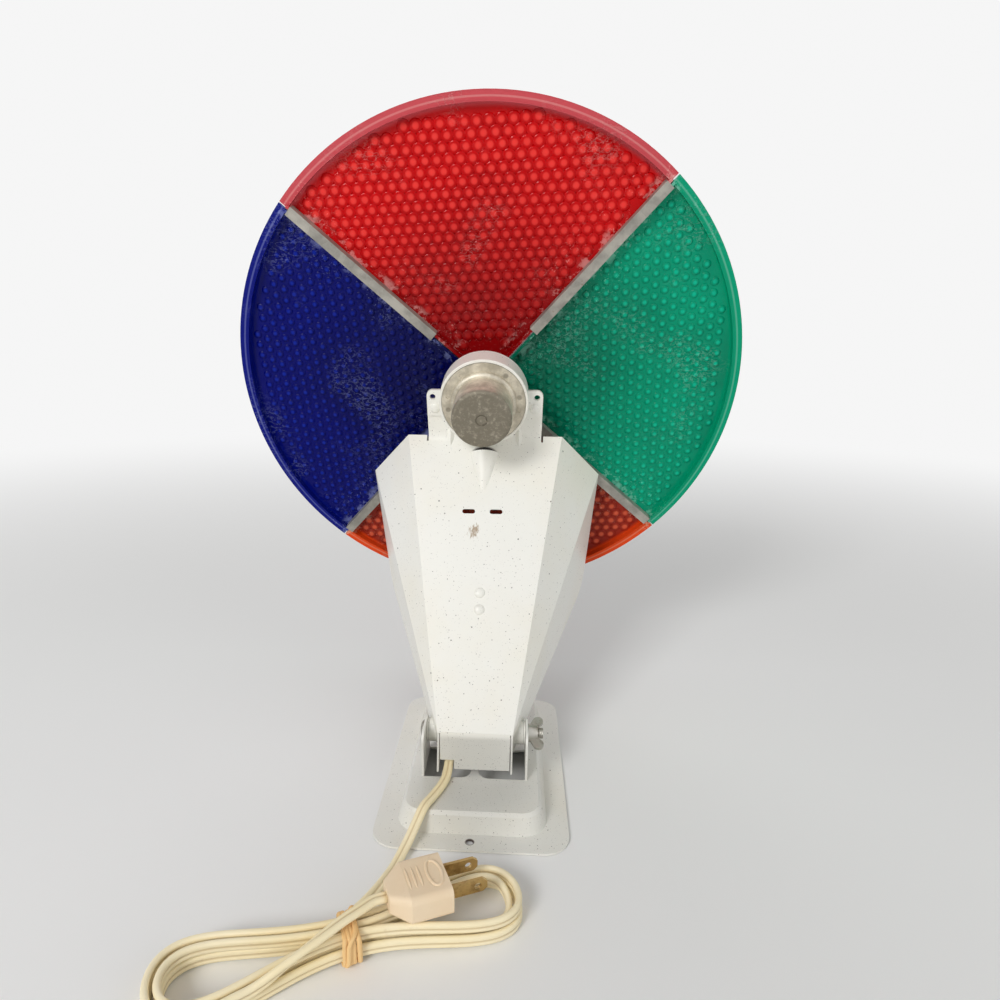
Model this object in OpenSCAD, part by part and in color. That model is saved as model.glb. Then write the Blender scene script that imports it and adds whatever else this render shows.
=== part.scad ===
// Color wheel light: a motor turns four coloured sectors in front of a flood lamp in a tilting head.
// Origin at the centre of the base underside, +Z up, wheel towards -Y.

/* [Wheel] */
// Outside diameter of the colour wheel
wheel_d = 305; // [280:1:320]
// Height of the wheel hub above the floor
hub_h = 223.5; // [210:0.5:240]
// Distance of the hub in front of the base centre
hub_forward = 75; // [68:1:84]
// Backward lean of the wheel
wheel_lean = 16.4; // [12:0.2:20]
// Thickness of the sector floor
sector_t = 1.5; // [1:0.1:2]
// Width of the turned-out flange round the rim
rim_flange_w = 5.4; // [3:0.1:8]
// Depth of the rim wall
rim_depth = 4; // [2.5:0.1:5]
// Thickness of the rim and joint walls
sector_wall = 1.6; // [1:0.1:2]
// Depth of the walls along the sector joints
joint_depth = 6; // [5:0.1:7]
// Radius of the sector corners at the rim
corner_r = 5; // [2:0.5:8]
// Distance from the axis to the inner end of a clip
clip_inner = 42; // [30:1:60]
// Distance from the rim to the outer end of a clip
clip_inset = 4; // [2:0.5:12]
// Sheet thickness of the clips
clip_t = 0.6; // [0.4:0.1:0.8]
// Diameter of the hub discs
hub_disc_d = 34; // [28:1:38]
// Thickness of the hub discs
hub_disc_t = 1.2; // [0.8:0.1:1.6]
// Diameter of the hub bush
bush_d = 13; // [11:0.5:16]
// Length of the bush behind the sectors
bush_len = 17; // [14:0.5:18]
// Width of the hub nut across its flats
nut_af = 10; // [9:0.5:12]
// Height of the hub nut
nut_h = 4; // [3:0.5:5]

/* [Motor] */
// Distance from the wheel back to the motor plate
plate_back = 26; // [25:0.5:29]
// Outside diameter of the motor cup
cup_d = 51.6; // [50:0.2:56]
// Depth of the motor cup
cup_depth = 14; // [13.6:0.2:16]
// Wall of the motor cup
cup_wall = 1; // [0.8:0.1:1.2]
// Diameter of the motor cover
cover_d = 48; // [46:0.5:49]
// Thickness of the motor cover
cover_t = 1.2; // [1:0.1:1.6]
// Diameter of the motor can
can_d = 33.6; // [32:0.2:36]
// Length of the motor can behind the cover
can_len = 24; // [22:0.5:28]
// Diameter of the shoulder ring round the can
shoulder_d = 38; // [37:0.5:40]
// Height of the shoulder ring
shoulder_h = 3.4; // [2:0.2:5]
// Sheet thickness of the can
can_t = 0.8; // [0.6:0.1:1]
// Diameter of the output shaft
shaft_d = 5; // [4:0.2:6]
// Length of the bearing boss in front of the plate
boss_len = 5; // [3:0.5:6]
// Gear module
gear_m = 0.5; // [0.46:0.01:0.52]
// Teeth of each pinion
pinion_z = 10; // [10:1:11]
// Teeth of each wheel gear
gear_z = 34; // [30:1:36]
// Face width of the gears
gear_w = 2.1; // [1.8:0.1:2.2]
// Diameter of the fixed gear pin
gear_pin_d = 2; // [1.6:0.1:2.2]

/* [Housing] */
// Sheet thickness of the lamp housing
sheet = 1; // [0.8:0.1:1.2]
// Distance from the motor cup down to the panel's top edge
panel_below_cup = 0.9; // [0.6:0.1:3]
// Width of the panel at its top edge
panel_top_w = 94; // [88:1:100]
// Width of the panel at its bottom edge
panel_foot_w = 42; // [41:0.5:44]
// Width of the strip that is bent up to carry the motor
strip_w = 69; // [66:0.5:76]
// Radius of the bend below the motor
bend_r = 9; // [5:0.5:12]
// Distance from the wheel back to the front rim
rim_back = 12; // [11:0.5:14]
// Width across the shoulders
shoulder_w = 146; // [140:1:152]
// Drop of the shoulders below the wheel axis
shoulder_drop = 59; // [54:1:64]
// Width across the lower front corners
front_w = 137; // [130:1:142]
// Drop of the lower front corners below the wheel axis
front_drop = 150; // [140:1:156]
// Rounding of the lower front corners
front_round = 14; // [6:1:20]
// Width of the foot flap
flap_w = 39; // [36:0.2:39.2]
// Length of the foot flap
flap_len = 21.4; // [18:0.2:21.6]
// Width of the cord notch in the flap
cord_notch_w = 8; // [7.6:0.2:9]
// Height of the cord notch in the flap
cord_notch_h = 5.4; // [5:0.2:9]
// Distance of the lead tunnel's mouth below the bend
tunnel_drop = 7.4; // [6:0.2:9]
// Width of the lead tunnel at its mouth
tunnel_w = 17.4; // [14:0.2:20]
// Rise of the lead tunnel above the panel
tunnel_rise = 6; // [5:0.2:6.6]
// Length of the lead tunnel
tunnel_len = 24; // [20:1:28]
// Distance of each stiffening dart from the middle of the strip
dart_x = 20.8; // [20:0.2:24]
// Width of the stiffening darts in the bend
dart_w = 5.6; // [4:0.2:7]
// Reach of the stiffening darts beyond the bend
dart_reach = 4.4; // [3:0.2:5]
// Length of each vent slot
slot_len = 7.6; // [5:0.2:9]
// Width of each vent slot
slot_w = 2.8; // [2:0.1:4]
// Height of the vent slots up the panel
slot_up = 127.8; // [118:0.2:132]

/* [Lamp] */
// Distance of the socket foot up the panel
lamp_up = 20; // [18:0.5:24]
// Distance of the socket foot in from the panel
lamp_in = 20.5; // [20:0.5:22]
// Turn of the lamp axis away from the panel
lamp_turn = 11.2; // [9:0.2:13]
// Diameter of the lamp face
lamp_d = 63; // [58:0.5:64]
// Length of the lamp from its contact to its face
lamp_len = 98; // [94:0.5:100]
// Diameter of the lamp's screw base
cap_d = 26; // [24:0.5:27]
// Length of the lamp's screw base
cap_len = 24; // [20:0.5:26]
// Outside diameter of the socket
socket_d = 33; // [32.5:0.5:34]
// Length of the socket
socket_len = 34; // [32:0.5:38]
// Thickness of the socket foot
socket_floor = 6; // [4:0.5:8]
// Width of the socket bracket
bracket_w = 16; // [12:0.5:20]
// Sheet thickness of the socket bracket
bracket_t = 1.2; // [0.8:0.1:1.3]
// Distance of the upper rivet up the panel
rivet_up = 79; // [74:0.5:86]
// Spacing of the two bracket rivets
rivet_pitch = 9.8; // [8:0.2:14]
// Head diameter of the rivets
rivet_d = 6.2; // [5:0.2:7]
// Shank diameter of the rivets
shank_d = 3; // [2.4:0.1:3.4]

/* [Base] */
// Width of the base
base_w = 102; // [96:1:112]
// Depth of the base
base_d = 152; // [144:1:170]
// Sheet thickness of the base
base_t = 1.2; // [1:0.1:1.4]
// Corner radius of the base
base_r = 14; // [10:0.5:18]
// Width of the flat flange
flange_w = 11; // [9.5:0.5:13]
// Run of the sloping wall
wall_run = 4; // [3:0.5:6]
// Height of the raised platform
platform_h = 12; // [11:0.2:12.4]
// Diameter of the screw holes in the flange
screw_hole_d = 4; // [3:0.1:5]
// Distance of the screw holes from the edge
screw_inset = 6; // [5.5:0.1:6.5]
// Clear width between the two ears
ear_gap = 56.4; // [55.6:0.2:58]
// Reach of the ears in front of the pivot
ear_front = 10; // [9:0.5:11]
// Reach of the ears behind the pivot
ear_back = 19; // [18:0.5:20]
// Height of the ears above the pivot
ear_r = 8; // [7:0.2:8.4]
// Rounding of the rear ear corners
ear_corner = 6; // [4:0.5:8]

/* [Pivot] */
// Distance of the pivot behind the base centre
pivot_y = 13; // [12:0.5:14]
// Height of the pivot
pivot_z = 30; // [29.6:0.1:30.6]
// Diameter of the pivot bolt
bolt_d = 6; // [5:0.2:6.4]
// Diameter of the pivot seats pressed out of the housing
seat_d = 13; // [12:0.5:13.4]
// Thickness of the pivot washers
washer_t = 0.9; // [0.6:0.1:1]
// Span of the wing nut
wing_span = 22; // [20:0.5:26]
// Radius of the wing tips
wing_r = 3; // [2.4:0.1:3.4]
// Reach of the wing nut and the bolt past the ear
bolt_reach = 8.8; // [8:0.2:12]

/* [Cord] */
// Width of the flat twin cord
cord_w = 5.4; // [5:0.1:5.5]
// Thickness of the flat twin cord
cord_t = 3; // [2.6:0.1:3]
// Half length of the outer loop of the hank
hank_half_len = 80; // [74:1:84]
// Half width of the hank at its waist
hank_waist = 8.2; // [8:0.1:9.2]
// Swell of the loops beyond the waist
hank_swell = 40; // [36:1:46]
// Length of the plug body
plug_len = 26; // [24:0.5:32]
// Width of the plug body
plug_w = 26; // [24:0.5:28]
// Thickness of the plug body
plug_t = 13; // [12:0.5:14]
// Distance between the two blades
blade_pitch = 12.7; // [12:0.1:13]
// Length of the blades
blade_len = 17; // [15:0.5:18]

/* [Fits] */
// Gap between pieces that are set beside each other
gap = 0.3; // [0.2:0.05:0.4]
// Radial play of a shaft in its bearing
bearing_play = 0.05; // [0.03:0.01:0.08]

/* [Hidden] */
$fn = 64;
wheel_r = wheel_d / 2;
cup_r = cup_d / 2;
hub = [0, -hub_forward, hub_h];
up_dir = [0, sin(wheel_lean), cos(wheel_lean)];
back_dir = [0, cos(wheel_lean), -sin(wheel_lean)];
function wheel_point(x, up, back) = hub + [x, 0, 0] + up * up_dir + back * back_dir;
function unit(v) = v / norm(v);
function flat(v) = [v[1], v[2]];
function cross_flat(a, b) = a[0] * b[1] - a[1] * b[0];
function arc(c, r, from, to, n = 8) =
    [for (i = [0:n]) let (a = from + (to - from) * i / n) [c[0] + r * cos(a), c[1] + r * sin(a)]];

// Folds of the lamp housing, on the outer surface of the right half
panel_foot = [0, pivot_y + 14, pivot_z + 6.5];
panel_drop = cup_r + panel_below_cup;
panel_top = wheel_point(0, -panel_drop, plate_back);
panel_len = norm(panel_top - panel_foot);
panel_lean = atan2(panel_foot[1] - panel_top[1], panel_top[2] - panel_foot[2]);
bend_angle = wheel_lean + panel_lean;
bend_run = bend_r * tan(bend_angle / 2);
bend_lap = 1;
bend_swell = 0.03;
function panel_point(x, up, in) = panel_foot + [x, 0, 0]
    + up * unit(panel_top - panel_foot) - in * [0, cos(panel_lean), sin(panel_lean)];

// Edge of the motor cup, drawn in so that it clears the bend below it
bend_start = panel_drop - bend_run;
cup_edge_r = min(cup_r - 0.5, bend_start - gap);
cup_edge_drop = bend_r - sqrt(pow(bend_r, 2) - pow(max(0, cup_r - bend_start), 2)) + gap;

fold_top = panel_top + [panel_top_w / 2, 0, 0];
fold_foot = panel_foot + [panel_foot_w / 2, 0, 0];
shoulder = wheel_point(shoulder_w / 2, -shoulder_drop, rim_back);
front_low = wheel_point(front_w / 2, -front_drop, rim_back);
tilt_back = 8;
tip_back = 18.5;
tip_drop = (pivot_z - platform_h - gap - tip_back * sin(tilt_back)) / cos(tilt_back);
tip = [panel_foot_w / 2, pivot_y + tip_back, pivot_z - tip_drop];
side_normal = unit(cross(shoulder - fold_foot, front_low - fold_foot));
fold_dir = unit(cross(side_normal, [1, 0, 0]));
tip_line = flat(tip - front_low);
tab_reach = -cross_flat(flat(fold_foot - front_low), tip_line) / cross_flat(flat(fold_dir), tip_line);
tab_fold = fold_foot + tab_reach * fold_dir;
tab_root = fold_foot + unit(panel_top - panel_foot) - 0.4 * sheet * [0, cos(panel_lean), sin(panel_lean)];
pivot_step = [0, pivot_y, pivot_z] - fold_foot;
pivot_wall_x = fold_foot[0]
    - (side_normal[1] * pivot_step[1] + side_normal[2] * pivot_step[2]) / side_normal[0];
flap_tip = panel_foot + flap_len * unit([0, 2, -21.4]);
ear_x = ear_gap / 2;
seat_x = ear_x - washer_t - gap;

// Levels behind the wheel
case_front = plate_back + cup_wall + gap / 3;
case_back = plate_back + cup_depth;
case_r = cup_r - cup_wall - gap / 2;
case_t = 1.2;
cover_back = case_back + cover_t;
can_back = cover_back + can_len;
gear_step = gear_w + gap;
level_4 = case_front + case_t + gap;
level_3 = level_4 + gear_step;
level_2 = level_3 + gear_step;
level_1 = level_2 + gear_step;
boss_r = shaft_d / 2 + 3.2;
boss_front = plate_back - sheet - boss_len;
rotor_pin_d = 2;

// Gear teeth: 25 degree flanks with short addendum, so that ten teeth need no undercut
pressure_angle = 25;
addendum = 0.8 * gear_m;
dedendum = gear_m;
backlash = 0.14 * gear_m;
gear_axis = gear_m * (pinion_z + gear_z) / 2;
gear_side = 90;
function involute(r, base) = let (a = acos(min(1, base / r))) tan(a) * 180 / PI - a;
function half_tooth(z, r) = let (pitch = gear_m * z / 2, base = pitch * cos(pressure_angle))
    90 / z - backlash / pitch * 90 / PI + involute(pitch, base) - involute(max(r, base), base);
function flank_radii(z) = let (pitch = gear_m * z / 2, low = pitch - dedendum, top = pitch + addendum)
    [low, max(low + 0.02, pitch * cos(pressure_angle)), pitch - 0.3 * addendum,
     pitch + 0.4 * addendum, top];
function gear_outline(z) = let (radii = flank_radii(z), n = len(radii)) [
    for (k = [0:z - 1], i = [0:2 * n - 1])
        let (
            r = radii[i < n ? i : 2 * n - 1 - i],
            turn = half_tooth(z, r) * (i < n ? -1 : 1),
            a = 360 * k / z + turn
        ) r * [cos(a), sin(a)]
];

// Cord route on the base and the floor, then the hank beside it, where the flat cord stands on edge
hank_at = [46, 137, 0];
hank_turn = 203;
hank_step = cord_t + 1.2;
hank_layer = cord_w + 0.7;
hank_loops = 2;
hank_start = 105;
hank_end = 360 * (2 * hank_loops - 1) + 235;
hank_mid = 360 * hank_loops;
hank_climb = 56;
hank_rings = 24;
floor_gap = 0.2;
band_t = 1.2;
waist_lift = band_t + gap;
cord_route = [
    [14.5, 20, 26], [14.5, 21.8, 21.8], [14.6, 23.8, 17.8], [14.9, 26.9, 15.3], [15.2, 31, 14.2],
    [15.7, 36, 13.8], [17.2, 42, 13.7], [19.4, 48, 13.7], [21.8, 54, 13.8], [23.4, 58, 14.2],
    [25, 62, 13.5], [26.8, 66.5, 10.8], [28.8, 71.5, 7.7], [30.8, 76.8, 5], [33, 83, 2.9],
    [35, 90, 2], [37.4, 97.5, 2.2], [40.6, 106, 2.5], [45, 115, 2.7], [51, 123.6, 2.8], [58, 130.6, 3]
];
function hank_layer_up(a) =
    let (t = min(1, max(0, (a - hank_mid) / hank_climb + 0.5))) t * t * (3 - 2 * t) * hank_layer;
function hank_turns(a) = a < hank_mid ? a / 360 : (2 * hank_mid - a) / 360;
function hank_local(a) = let (
    in = hank_step * hank_turns(a),
    swell = hank_swell - 1.3 * in,
    waist = hank_waist - in,
    lift = waist_lift * pow(sin(a), 8)
) [(hank_half_len - in) * cos(a), (waist + swell * pow(cos(a), 2)) * sin(a),
   floor_gap + cord_w / 2 + lift + hank_layer_up(a)];
function to_hank(p) = hank_at + [
    p[0] * cos(hank_turn) - p[1] * sin(hank_turn), p[0] * sin(hank_turn) + p[1] * cos(hank_turn), p[2]];
hank_count = ceil((hank_end - hank_start) / 360 * hank_rings);
hank_path = [for (i = [0:hank_count])
    to_hank(hank_local(hank_start + (hank_end - hank_start) * i / hank_count))];
hank_first = hank_path[0];
hank_last = hank_path[hank_count];
hank_in_dir = unit(hank_path[1] - hank_path[0]);
hank_out_dir = unit(hank_path[hank_count] - hank_path[hank_count - 1]);
cord_path = concat(cord_route, [hank_first - cord_w * hank_in_dir, hank_first]);
plug_axis_z = floor_gap + cord_w + hank_layer + waist_lift + plug_t / 2 + gap / 3;
plug_rear = [17, 3, plug_axis_z];
tail_route = [[-34, -13.4, 11.2], [-28, -12, 13.6], [-20, -9.6, 16], [-10, -6, 18.2], [-2, -2.6, 19.4],
    [6, 0.6, 19.8]];
tail_path = concat([hank_last, hank_last + cord_w * hank_out_dir], [for (p = tail_route) to_hank(p)],
    [to_hank(plug_rear - [cord_w, 0, 0]), to_hank(plug_rear)]);
flat_six = [[cord_w / 2, 0], [cord_w / 4, cord_t / 2], [-cord_w / 4, cord_t / 2],
    [-cord_w / 2, 0], [-cord_w / 4, -cord_t / 2], [cord_w / 4, -cord_t / 2]];
flat_eight = [[cord_w / 2, cord_t / 5], [cord_w * 0.36, cord_t / 2], [-cord_w * 0.36, cord_t / 2],
    [-cord_w / 2, cord_t / 5], [-cord_w / 2, -cord_t / 5], [-cord_w * 0.36, -cord_t / 2],
    [cord_w * 0.36, -cord_t / 2], [cord_w / 2, -cord_t / 5]];
function path_length(p) = len(p) < 2 ? 0 : [for (i = 0, s = 0; i < len(p); s = s + (i + 1 < len(p) ?
    norm(p[i + 1] - p[i]) : 0), i = i + 1) s][len(p) - 1];
hank_gap = min([for (i = [0:hank_count - 6], j = [i + 6:hank_count])
    let (d = hank_path[j] - hank_path[i])
        max(norm([d[0], d[1]]) - cord_t, abs(d[2]) - cord_w)]);
echo(cord_length = path_length(cord_path) + path_length(hank_path) + path_length(tail_path));
echo(hank_least_gap = hank_gap);

module in_wheel() {
    translate(hub) rotate([90 - wheel_lean, 0, 0]) children();
}

module in_panel() {
    translate(panel_foot) rotate([90 + panel_lean, 0, 0]) children();
}

module in_lamp() {
    in_panel() translate([0, lamp_up, lamp_in]) rotate([lamp_turn - 90, 0, 0]) children();
}

module along_x(x) {
    translate([x, pivot_y, pivot_z]) rotate([0, 90, 0]) children();
}

module both_sides() {
    for (side = [0, 1]) mirror([side, 0, 0]) children();
}

module disc(r, from, to) {
    translate([0, 0, from]) cylinder(r = r, h = to - from);
}

module ring(outer, inner, from, to) {
    difference() {
        disc(outer, from, to);
        disc(inner, from - 1, to + 1);
    }
}

module rounded_rect(w, d, r) {
    square([w - 2 * r, d], center = true);
    square([w, d - 2 * r], center = true);
    for (x = [-1, 1], y = [-1, 1]) translate([x * (w / 2 - r), y * (d / 2 - r)]) circle(r);
}

// A flat sheet whose outer face is the given loop of points, thickened to the right-hand side of the loop
module sheet_of(points, t) {
    ex = unit(points[1] - points[0]);
    ez = unit(cross(ex, points[2] - points[0]));
    ey = cross(ez, ex);
    translate(points[0])
        rotate([atan2(ey[2], ez[2]), -asin(ex[2]), atan2(ex[1], ex[0])])
            linear_extrude(t)
                polygon([for (p = points) [(p - points[0]) * ex, (p - points[0]) * ey]]);
}

// A tube swept along a path with its width level, or rolled from one angle to another over a share of the path
module sweep(path, section, roll = [0, 0], share = [0, 1]) {
    n = len(section);
    m = len(path);
    function tangent(i) = unit(path[min(m - 1, i + 1)] - path[max(0, i - 1)]);
    function station(i) = let (t = tangent(i), side = unit(cross(t, [0, 0, 1])), up = cross(side, t),
        part = min(1, max(0, (i / (m - 1) - share[0]) / (share[1] - share[0]))),
        a = roll[0] + (roll[1] - roll[0]) * part)
        [for (q = section) path[i] + (q[0] * cos(a) - q[1] * sin(a)) * side
            + (q[0] * sin(a) + q[1] * cos(a)) * up];
    points = [for (i = [0:m - 1]) each station(i)];
    walls = [for (i = [0:m - 2], k = [0:n - 1]) let (a = i * n + k, b = i * n + (k + 1) % n)
        each [[a, a + n, b], [b, a + n, b + n]]];
    ends = [for (k = [1:n - 2]) each [[0, k, k + 1], [(m - 1) * n, (m - 1) * n + k + 1, (m - 1) * n + k]]];
    polyhedron(points, concat(walls, ends));
}

module ear_outline() {
    h = pivot_z - platform_h;
    polygon(concat([[-ear_front, -base_t], [ear_back, -base_t]],
        arc([ear_back - ear_corner, h + ear_r - ear_corner], ear_corner, 0, 90),
        [[0, h + ear_r], [0, h], [-ear_r, h], [-ear_front, 0]]));
    translate([0, h]) circle(ear_r);
}

module tray(inset, h) {
    w = base_w - 2 * flange_w - 2 * inset;
    d = base_d - 2 * flange_w - 2 * inset;
    r = base_r - inset / 2;
    hull() {
        linear_extrude(0.1) rounded_rect(w, d, r, $fn = 32);
        translate([0, 0, h - 2]) linear_extrude(0.1)
            rounded_rect(w - 1.6 * wall_run, d - 1.6 * wall_run, r - 0.8 * wall_run, $fn = 32);
        translate([0, 0, h - 0.1]) linear_extrude(0.1)
            rounded_rect(w - 2.4 * wall_run, d - 2.4 * wall_run, r - 1.2 * wall_run, $fn = 32);
    }
}

module base_plate() {
    color("ivory") difference() {
        union() {
            difference() {
                union() {
                    linear_extrude(base_t) rounded_rect(base_w, base_d, base_r);
                    tray(0, platform_h);
                }
                translate([0, 0, -1]) tray(base_t, platform_h - base_t + 1);
                both_sides() translate([ear_x, pivot_y, platform_h - base_t - 4]) linear_extrude(base_t + 8)
                    rotate(90) ear_outline();
            }
            both_sides() translate([ear_x, pivot_y, platform_h]) rotate([90, 0, 90]) linear_extrude(base_t)
                ear_outline();
        }
        for (y = [-1, 1]) translate([0, y * (base_d / 2 - screw_inset), -1])
            cylinder(d = screw_hole_d, h = base_t + 2);
        along_x(-ear_x - base_t - 1) cylinder(d = bolt_d + 2 * bearing_play, h = ear_gap + 2 * base_t + 2);
    }
}

module pivot_bolt() {
    head_x = ear_x + base_t;
    color("silver") {
        along_x(-head_x - bolt_reach) cylinder(d = bolt_d, h = 2 * head_x + bolt_reach + base_t / 2);
        along_x(head_x) rotate_extrude() polygon(concat([[0, 0], [0.9 * bolt_d, 0]],
            [for (i = [0:6]) [0.9 * bolt_d * cos(15 * i), base_t / 2 + 0.36 * bolt_d * sin(15 * i)]]));
    }
}

module pivot_washers() {
    color("dimgray") both_sides() along_x(seat_x + gap / 2)
        ring(seat_d / 2, bolt_d / 2 + bearing_play, 0, washer_t);
}

module wing_nut() {
    nut_x = ear_x + base_t + gap;
    hub_r = bolt_d / 2 + 2.2;
    hub_len = 0.9 * bolt_d;
    wing_t = 0.6 * wing_r;
    color("silver") mirror([1, 0, 0]) along_x(nut_x) difference() {
        union() {
            cylinder(r1 = hub_r, r2 = hub_r - gap, h = hub_len);
            for (side = [0, 180]) rotate([0, 0, side + 70]) translate([0, wing_t / 2, 0]) rotate([90, 0, 0])
                linear_extrude(wing_t) polygon(concat([[bolt_d / 2 + gap, base_t], [hub_r + gap, base_t]],
                    arc([wing_span / 2 - wing_r, bolt_reach - wing_r], wing_r, -50, 150, 10),
                    [[bolt_d / 2 + gap, hub_len - gap]]));
        }
        disc(bolt_d / 2 + bearing_play, -1, 7);
    }
}

module side_sheets() {
    sheet_of([fold_top, fold_foot, shoulder], sheet);
    toward_s = unit(shoulder - front_low) * front_round;
    toward_t = unit(tab_fold - front_low) * front_round;
    rounded = [for (i = [0:8]) let (t = i / 8)
        front_low + (1 - t) * (1 - t) * toward_s + t * t * toward_t];
    sheet_of(concat([shoulder, fold_foot, tab_fold], [for (i = [8:-1:0]) rounded[i]]), sheet);
    sheet_of([tab_root, tip, tab_fold], sheet);
}

module lead_tunnel(grow) {
    r = tunnel_w * tunnel_w / 8 / tunnel_rise + tunnel_rise / 2;
    translate([0, panel_len - bend_run - tunnel_drop, r - tunnel_rise]) rotate([90, 0, 0])
        cylinder(r1 = r + grow, r2 = r - tunnel_rise + grow, h = tunnel_len);
}

module panel_sheet() {
    half = strip_w / 2;
    relief = half + sheet;
    in_panel() difference() {
        union() {
            linear_extrude(sheet) polygon([[-panel_foot_w / 2, 0], [panel_foot_w / 2, 0],
                [panel_top_w / 2, panel_len], [relief, panel_len], [relief, panel_len - bend_run],
                [-relief, panel_len - bend_run], [-relief, panel_len], [-panel_top_w / 2, panel_len]]);
            intersection() {
                lead_tunnel(0);
                translate([-tunnel_w, 0, -tunnel_rise - 1])
                    cube([2 * tunnel_w, panel_len, tunnel_rise + 1 + sheet]);
            }
        }
        translate([0, gap + 0.01, 0]) lead_tunnel(-sheet);
        for (x = [-1, 1]) translate([x * (slot_len / 2 + 4.4), slot_up, -1]) linear_extrude(sheet + 2)
            rounded_rect(slot_len, slot_w, slot_w / 2 - 0.1);
        for (i = [0, 1]) translate([0, rivet_up - i * rivet_pitch, -1])
            cylinder(d = shank_d + 2 * bearing_play, h = sheet + 2);
    }
    in_panel() translate([0, panel_len - bend_run, -bend_r]) rotate([0, -90, 0]) rotate(-bend_lap)
        rotate_extrude(angle = bend_angle + 2 * bend_lap)
            translate([bend_r - bend_swell, 0.1 - half]) square([sheet + 2 * bend_swell, strip_w - 0.2]);
}

// A dart pressed across the bend: a ridge from strip to panel over a seat in the bend
module stiffening_dart() {
    seat = panel_point(dart_x, panel_len - bend_run + (bend_r + sheet / 2) * sin(bend_angle / 2),
        (bend_r + sheet / 2) * cos(bend_angle / 2) - bend_r);
    polyhedron([wheel_point(dart_x, dart_reach - bend_start, plate_back - sheet / 3),
        panel_point(dart_x, panel_len - bend_run - dart_reach, sheet / 3),
        seat + [dart_w / 2, 0, 0], seat - [dart_w / 2, 0, 0]],
        [[0, 1, 2], [0, 3, 1], [0, 2, 3], [1, 3, 2]]);
}

ear_hole = [31, -1.6];
ear_rivet = [29.8, -8.6];
ear_top = 2.6;

module strip_outline(low) {
    half = strip_w / 2;
    ear_round = 3.5;
    polygon(concat([[-half, low], [half, low]],
        arc([half - ear_round, ear_top - ear_round], ear_round, 0, 90),
        arc([ear_round - half, ear_top - ear_round], ear_round, 90, 180)));
}

module ear_holes() {
    for (x = [-1, 1]) {
        translate([x * ear_hole[0], ear_hole[1], -1]) cylinder(d = 3.4, h = 2 * sheet + cup_wall + 2);
        translate([x * ear_rivet[0], ear_rivet[1], -1])
            cylinder(d = shank_d + 2 * bearing_play, h = 2 * sheet + cup_wall + 2);
    }
}

module motor_plate() {
    in_wheel() translate([0, 0, -plate_back]) difference() {
        linear_extrude(sheet) union() {
            strip_outline(-bend_start);
            circle(cup_r);
        }
        translate([0, 0, -1]) cylinder(r = boss_r + gap, h = sheet + 2);
        ear_holes();
    }
}

module lamp_housing() {
    color("ivory") difference() {
        union() {
            panel_sheet();
            motor_plate();
            both_sides() {
                side_sheets();
                stiffening_dart();
                along_x(pivot_wall_x - 3) cylinder(d = seat_d, h = seat_x - pivot_wall_x + 3);
            }
            difference() {
                sheet_of([panel_foot + [-flap_w / 2, 0, 0.5], flap_tip - [flap_w / 2, 0, 0],
                    flap_tip + [flap_w / 2, 0, 0], panel_foot + [flap_w / 2, 0, 0.5]], sheet);
                translate(flap_tip + [flap_w / 2 - cord_notch_w, -3, -1])
                    cube([cord_notch_w + 1, 6, cord_notch_h + 1]);
            }
        }
        both_sides() along_x(0) cylinder(d = seat_d - 2 * sheet, h = seat_x - sheet);
        along_x(-ear_x) cylinder(d = bolt_d + 2 * bearing_play, h = ear_gap);
    }
}

module motor_cup() {
    color("ivory") in_wheel() difference() {
        union() {
            disc(cup_r, cup_wall / 2 - cover_back, -plate_back - cup_edge_drop);
            translate([0, 0, -cover_back]) cylinder(r1 = cup_r - cup_wall / 2, r2 = cup_r, h = cup_wall / 2);
            translate([0, 0, -plate_back - cup_edge_drop])
                cylinder(r1 = cup_r, r2 = cup_edge_r, h = cup_edge_drop - bearing_play);
            translate([0, 0, -plate_back - cup_wall]) linear_extrude(cup_wall - bearing_play)
                strip_outline(ear_rivet[1] - 5);
        }
        disc(cup_r - cup_wall, -case_back - gap / 3, -plate_back - cup_wall);
        disc(cover_d / 2 + gap, -cover_back - 1, -case_back);
        disc(boss_r + gap, -case_back, -plate_back + 1);
        translate([0, 0, -plate_back - cup_wall]) ear_holes();
    }
}

module rivet(grip, tail) {
    rise = rivet_d * 0.24;
    rotate_extrude() polygon(concat([[0, -grip - 0.8], [tail / 2, -grip - 0.8], [tail / 2, -grip],
        [shank_d / 2, -grip], [shank_d / 2, 0], [rivet_d / 2, 0]],
        [for (i = [1:6]) [rivet_d / 2 * cos(15 * i), rise * sin(15 * i)]]));
}

module motor_rivets() {
    color("ivory") in_wheel() for (x = [-1, 1])
        translate([x * ear_rivet[0], ear_rivet[1], -plate_back - cup_wall]) rotate([180, 0, 0])
            rivet(sheet + cup_wall, shank_d + 1.6);
}

module gear_case() {
    color("darkgray") in_wheel() difference() {
        union() {
            disc(case_r, -case_back, -case_front);
            disc(boss_r, -case_front - 1, -boss_front);
        }
        disc(case_r - case_t, -case_back - 1, -case_front - case_t);
        disc(shaft_d / 2 + bearing_play, -case_back, -boss_front + 1);
        rotate(gear_side) translate([gear_axis, 0, 0])
            disc(gear_pin_d / 2, -case_back, -case_front - case_t / 2);
    }
}

module motor_cover() {
    color("darkgray") in_wheel() difference() {
        disc(cover_d / 2, -cover_back, -case_back);
        disc(rotor_pin_d / 2 + bearing_play, -cover_back - 1, -case_back + 1);
        rotate(gear_side) translate([gear_axis, 0, 0])
            disc(gear_pin_d / 2, -case_back - cover_t / 2, -case_back + 1);
        for (a = [11, 53, 191, 233]) rotate(a) translate([cover_d / 2 - 3.2, 0, 0])
            disc(1.2, -cover_back - 1, -cover_back + 0.5);
    }
}

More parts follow.
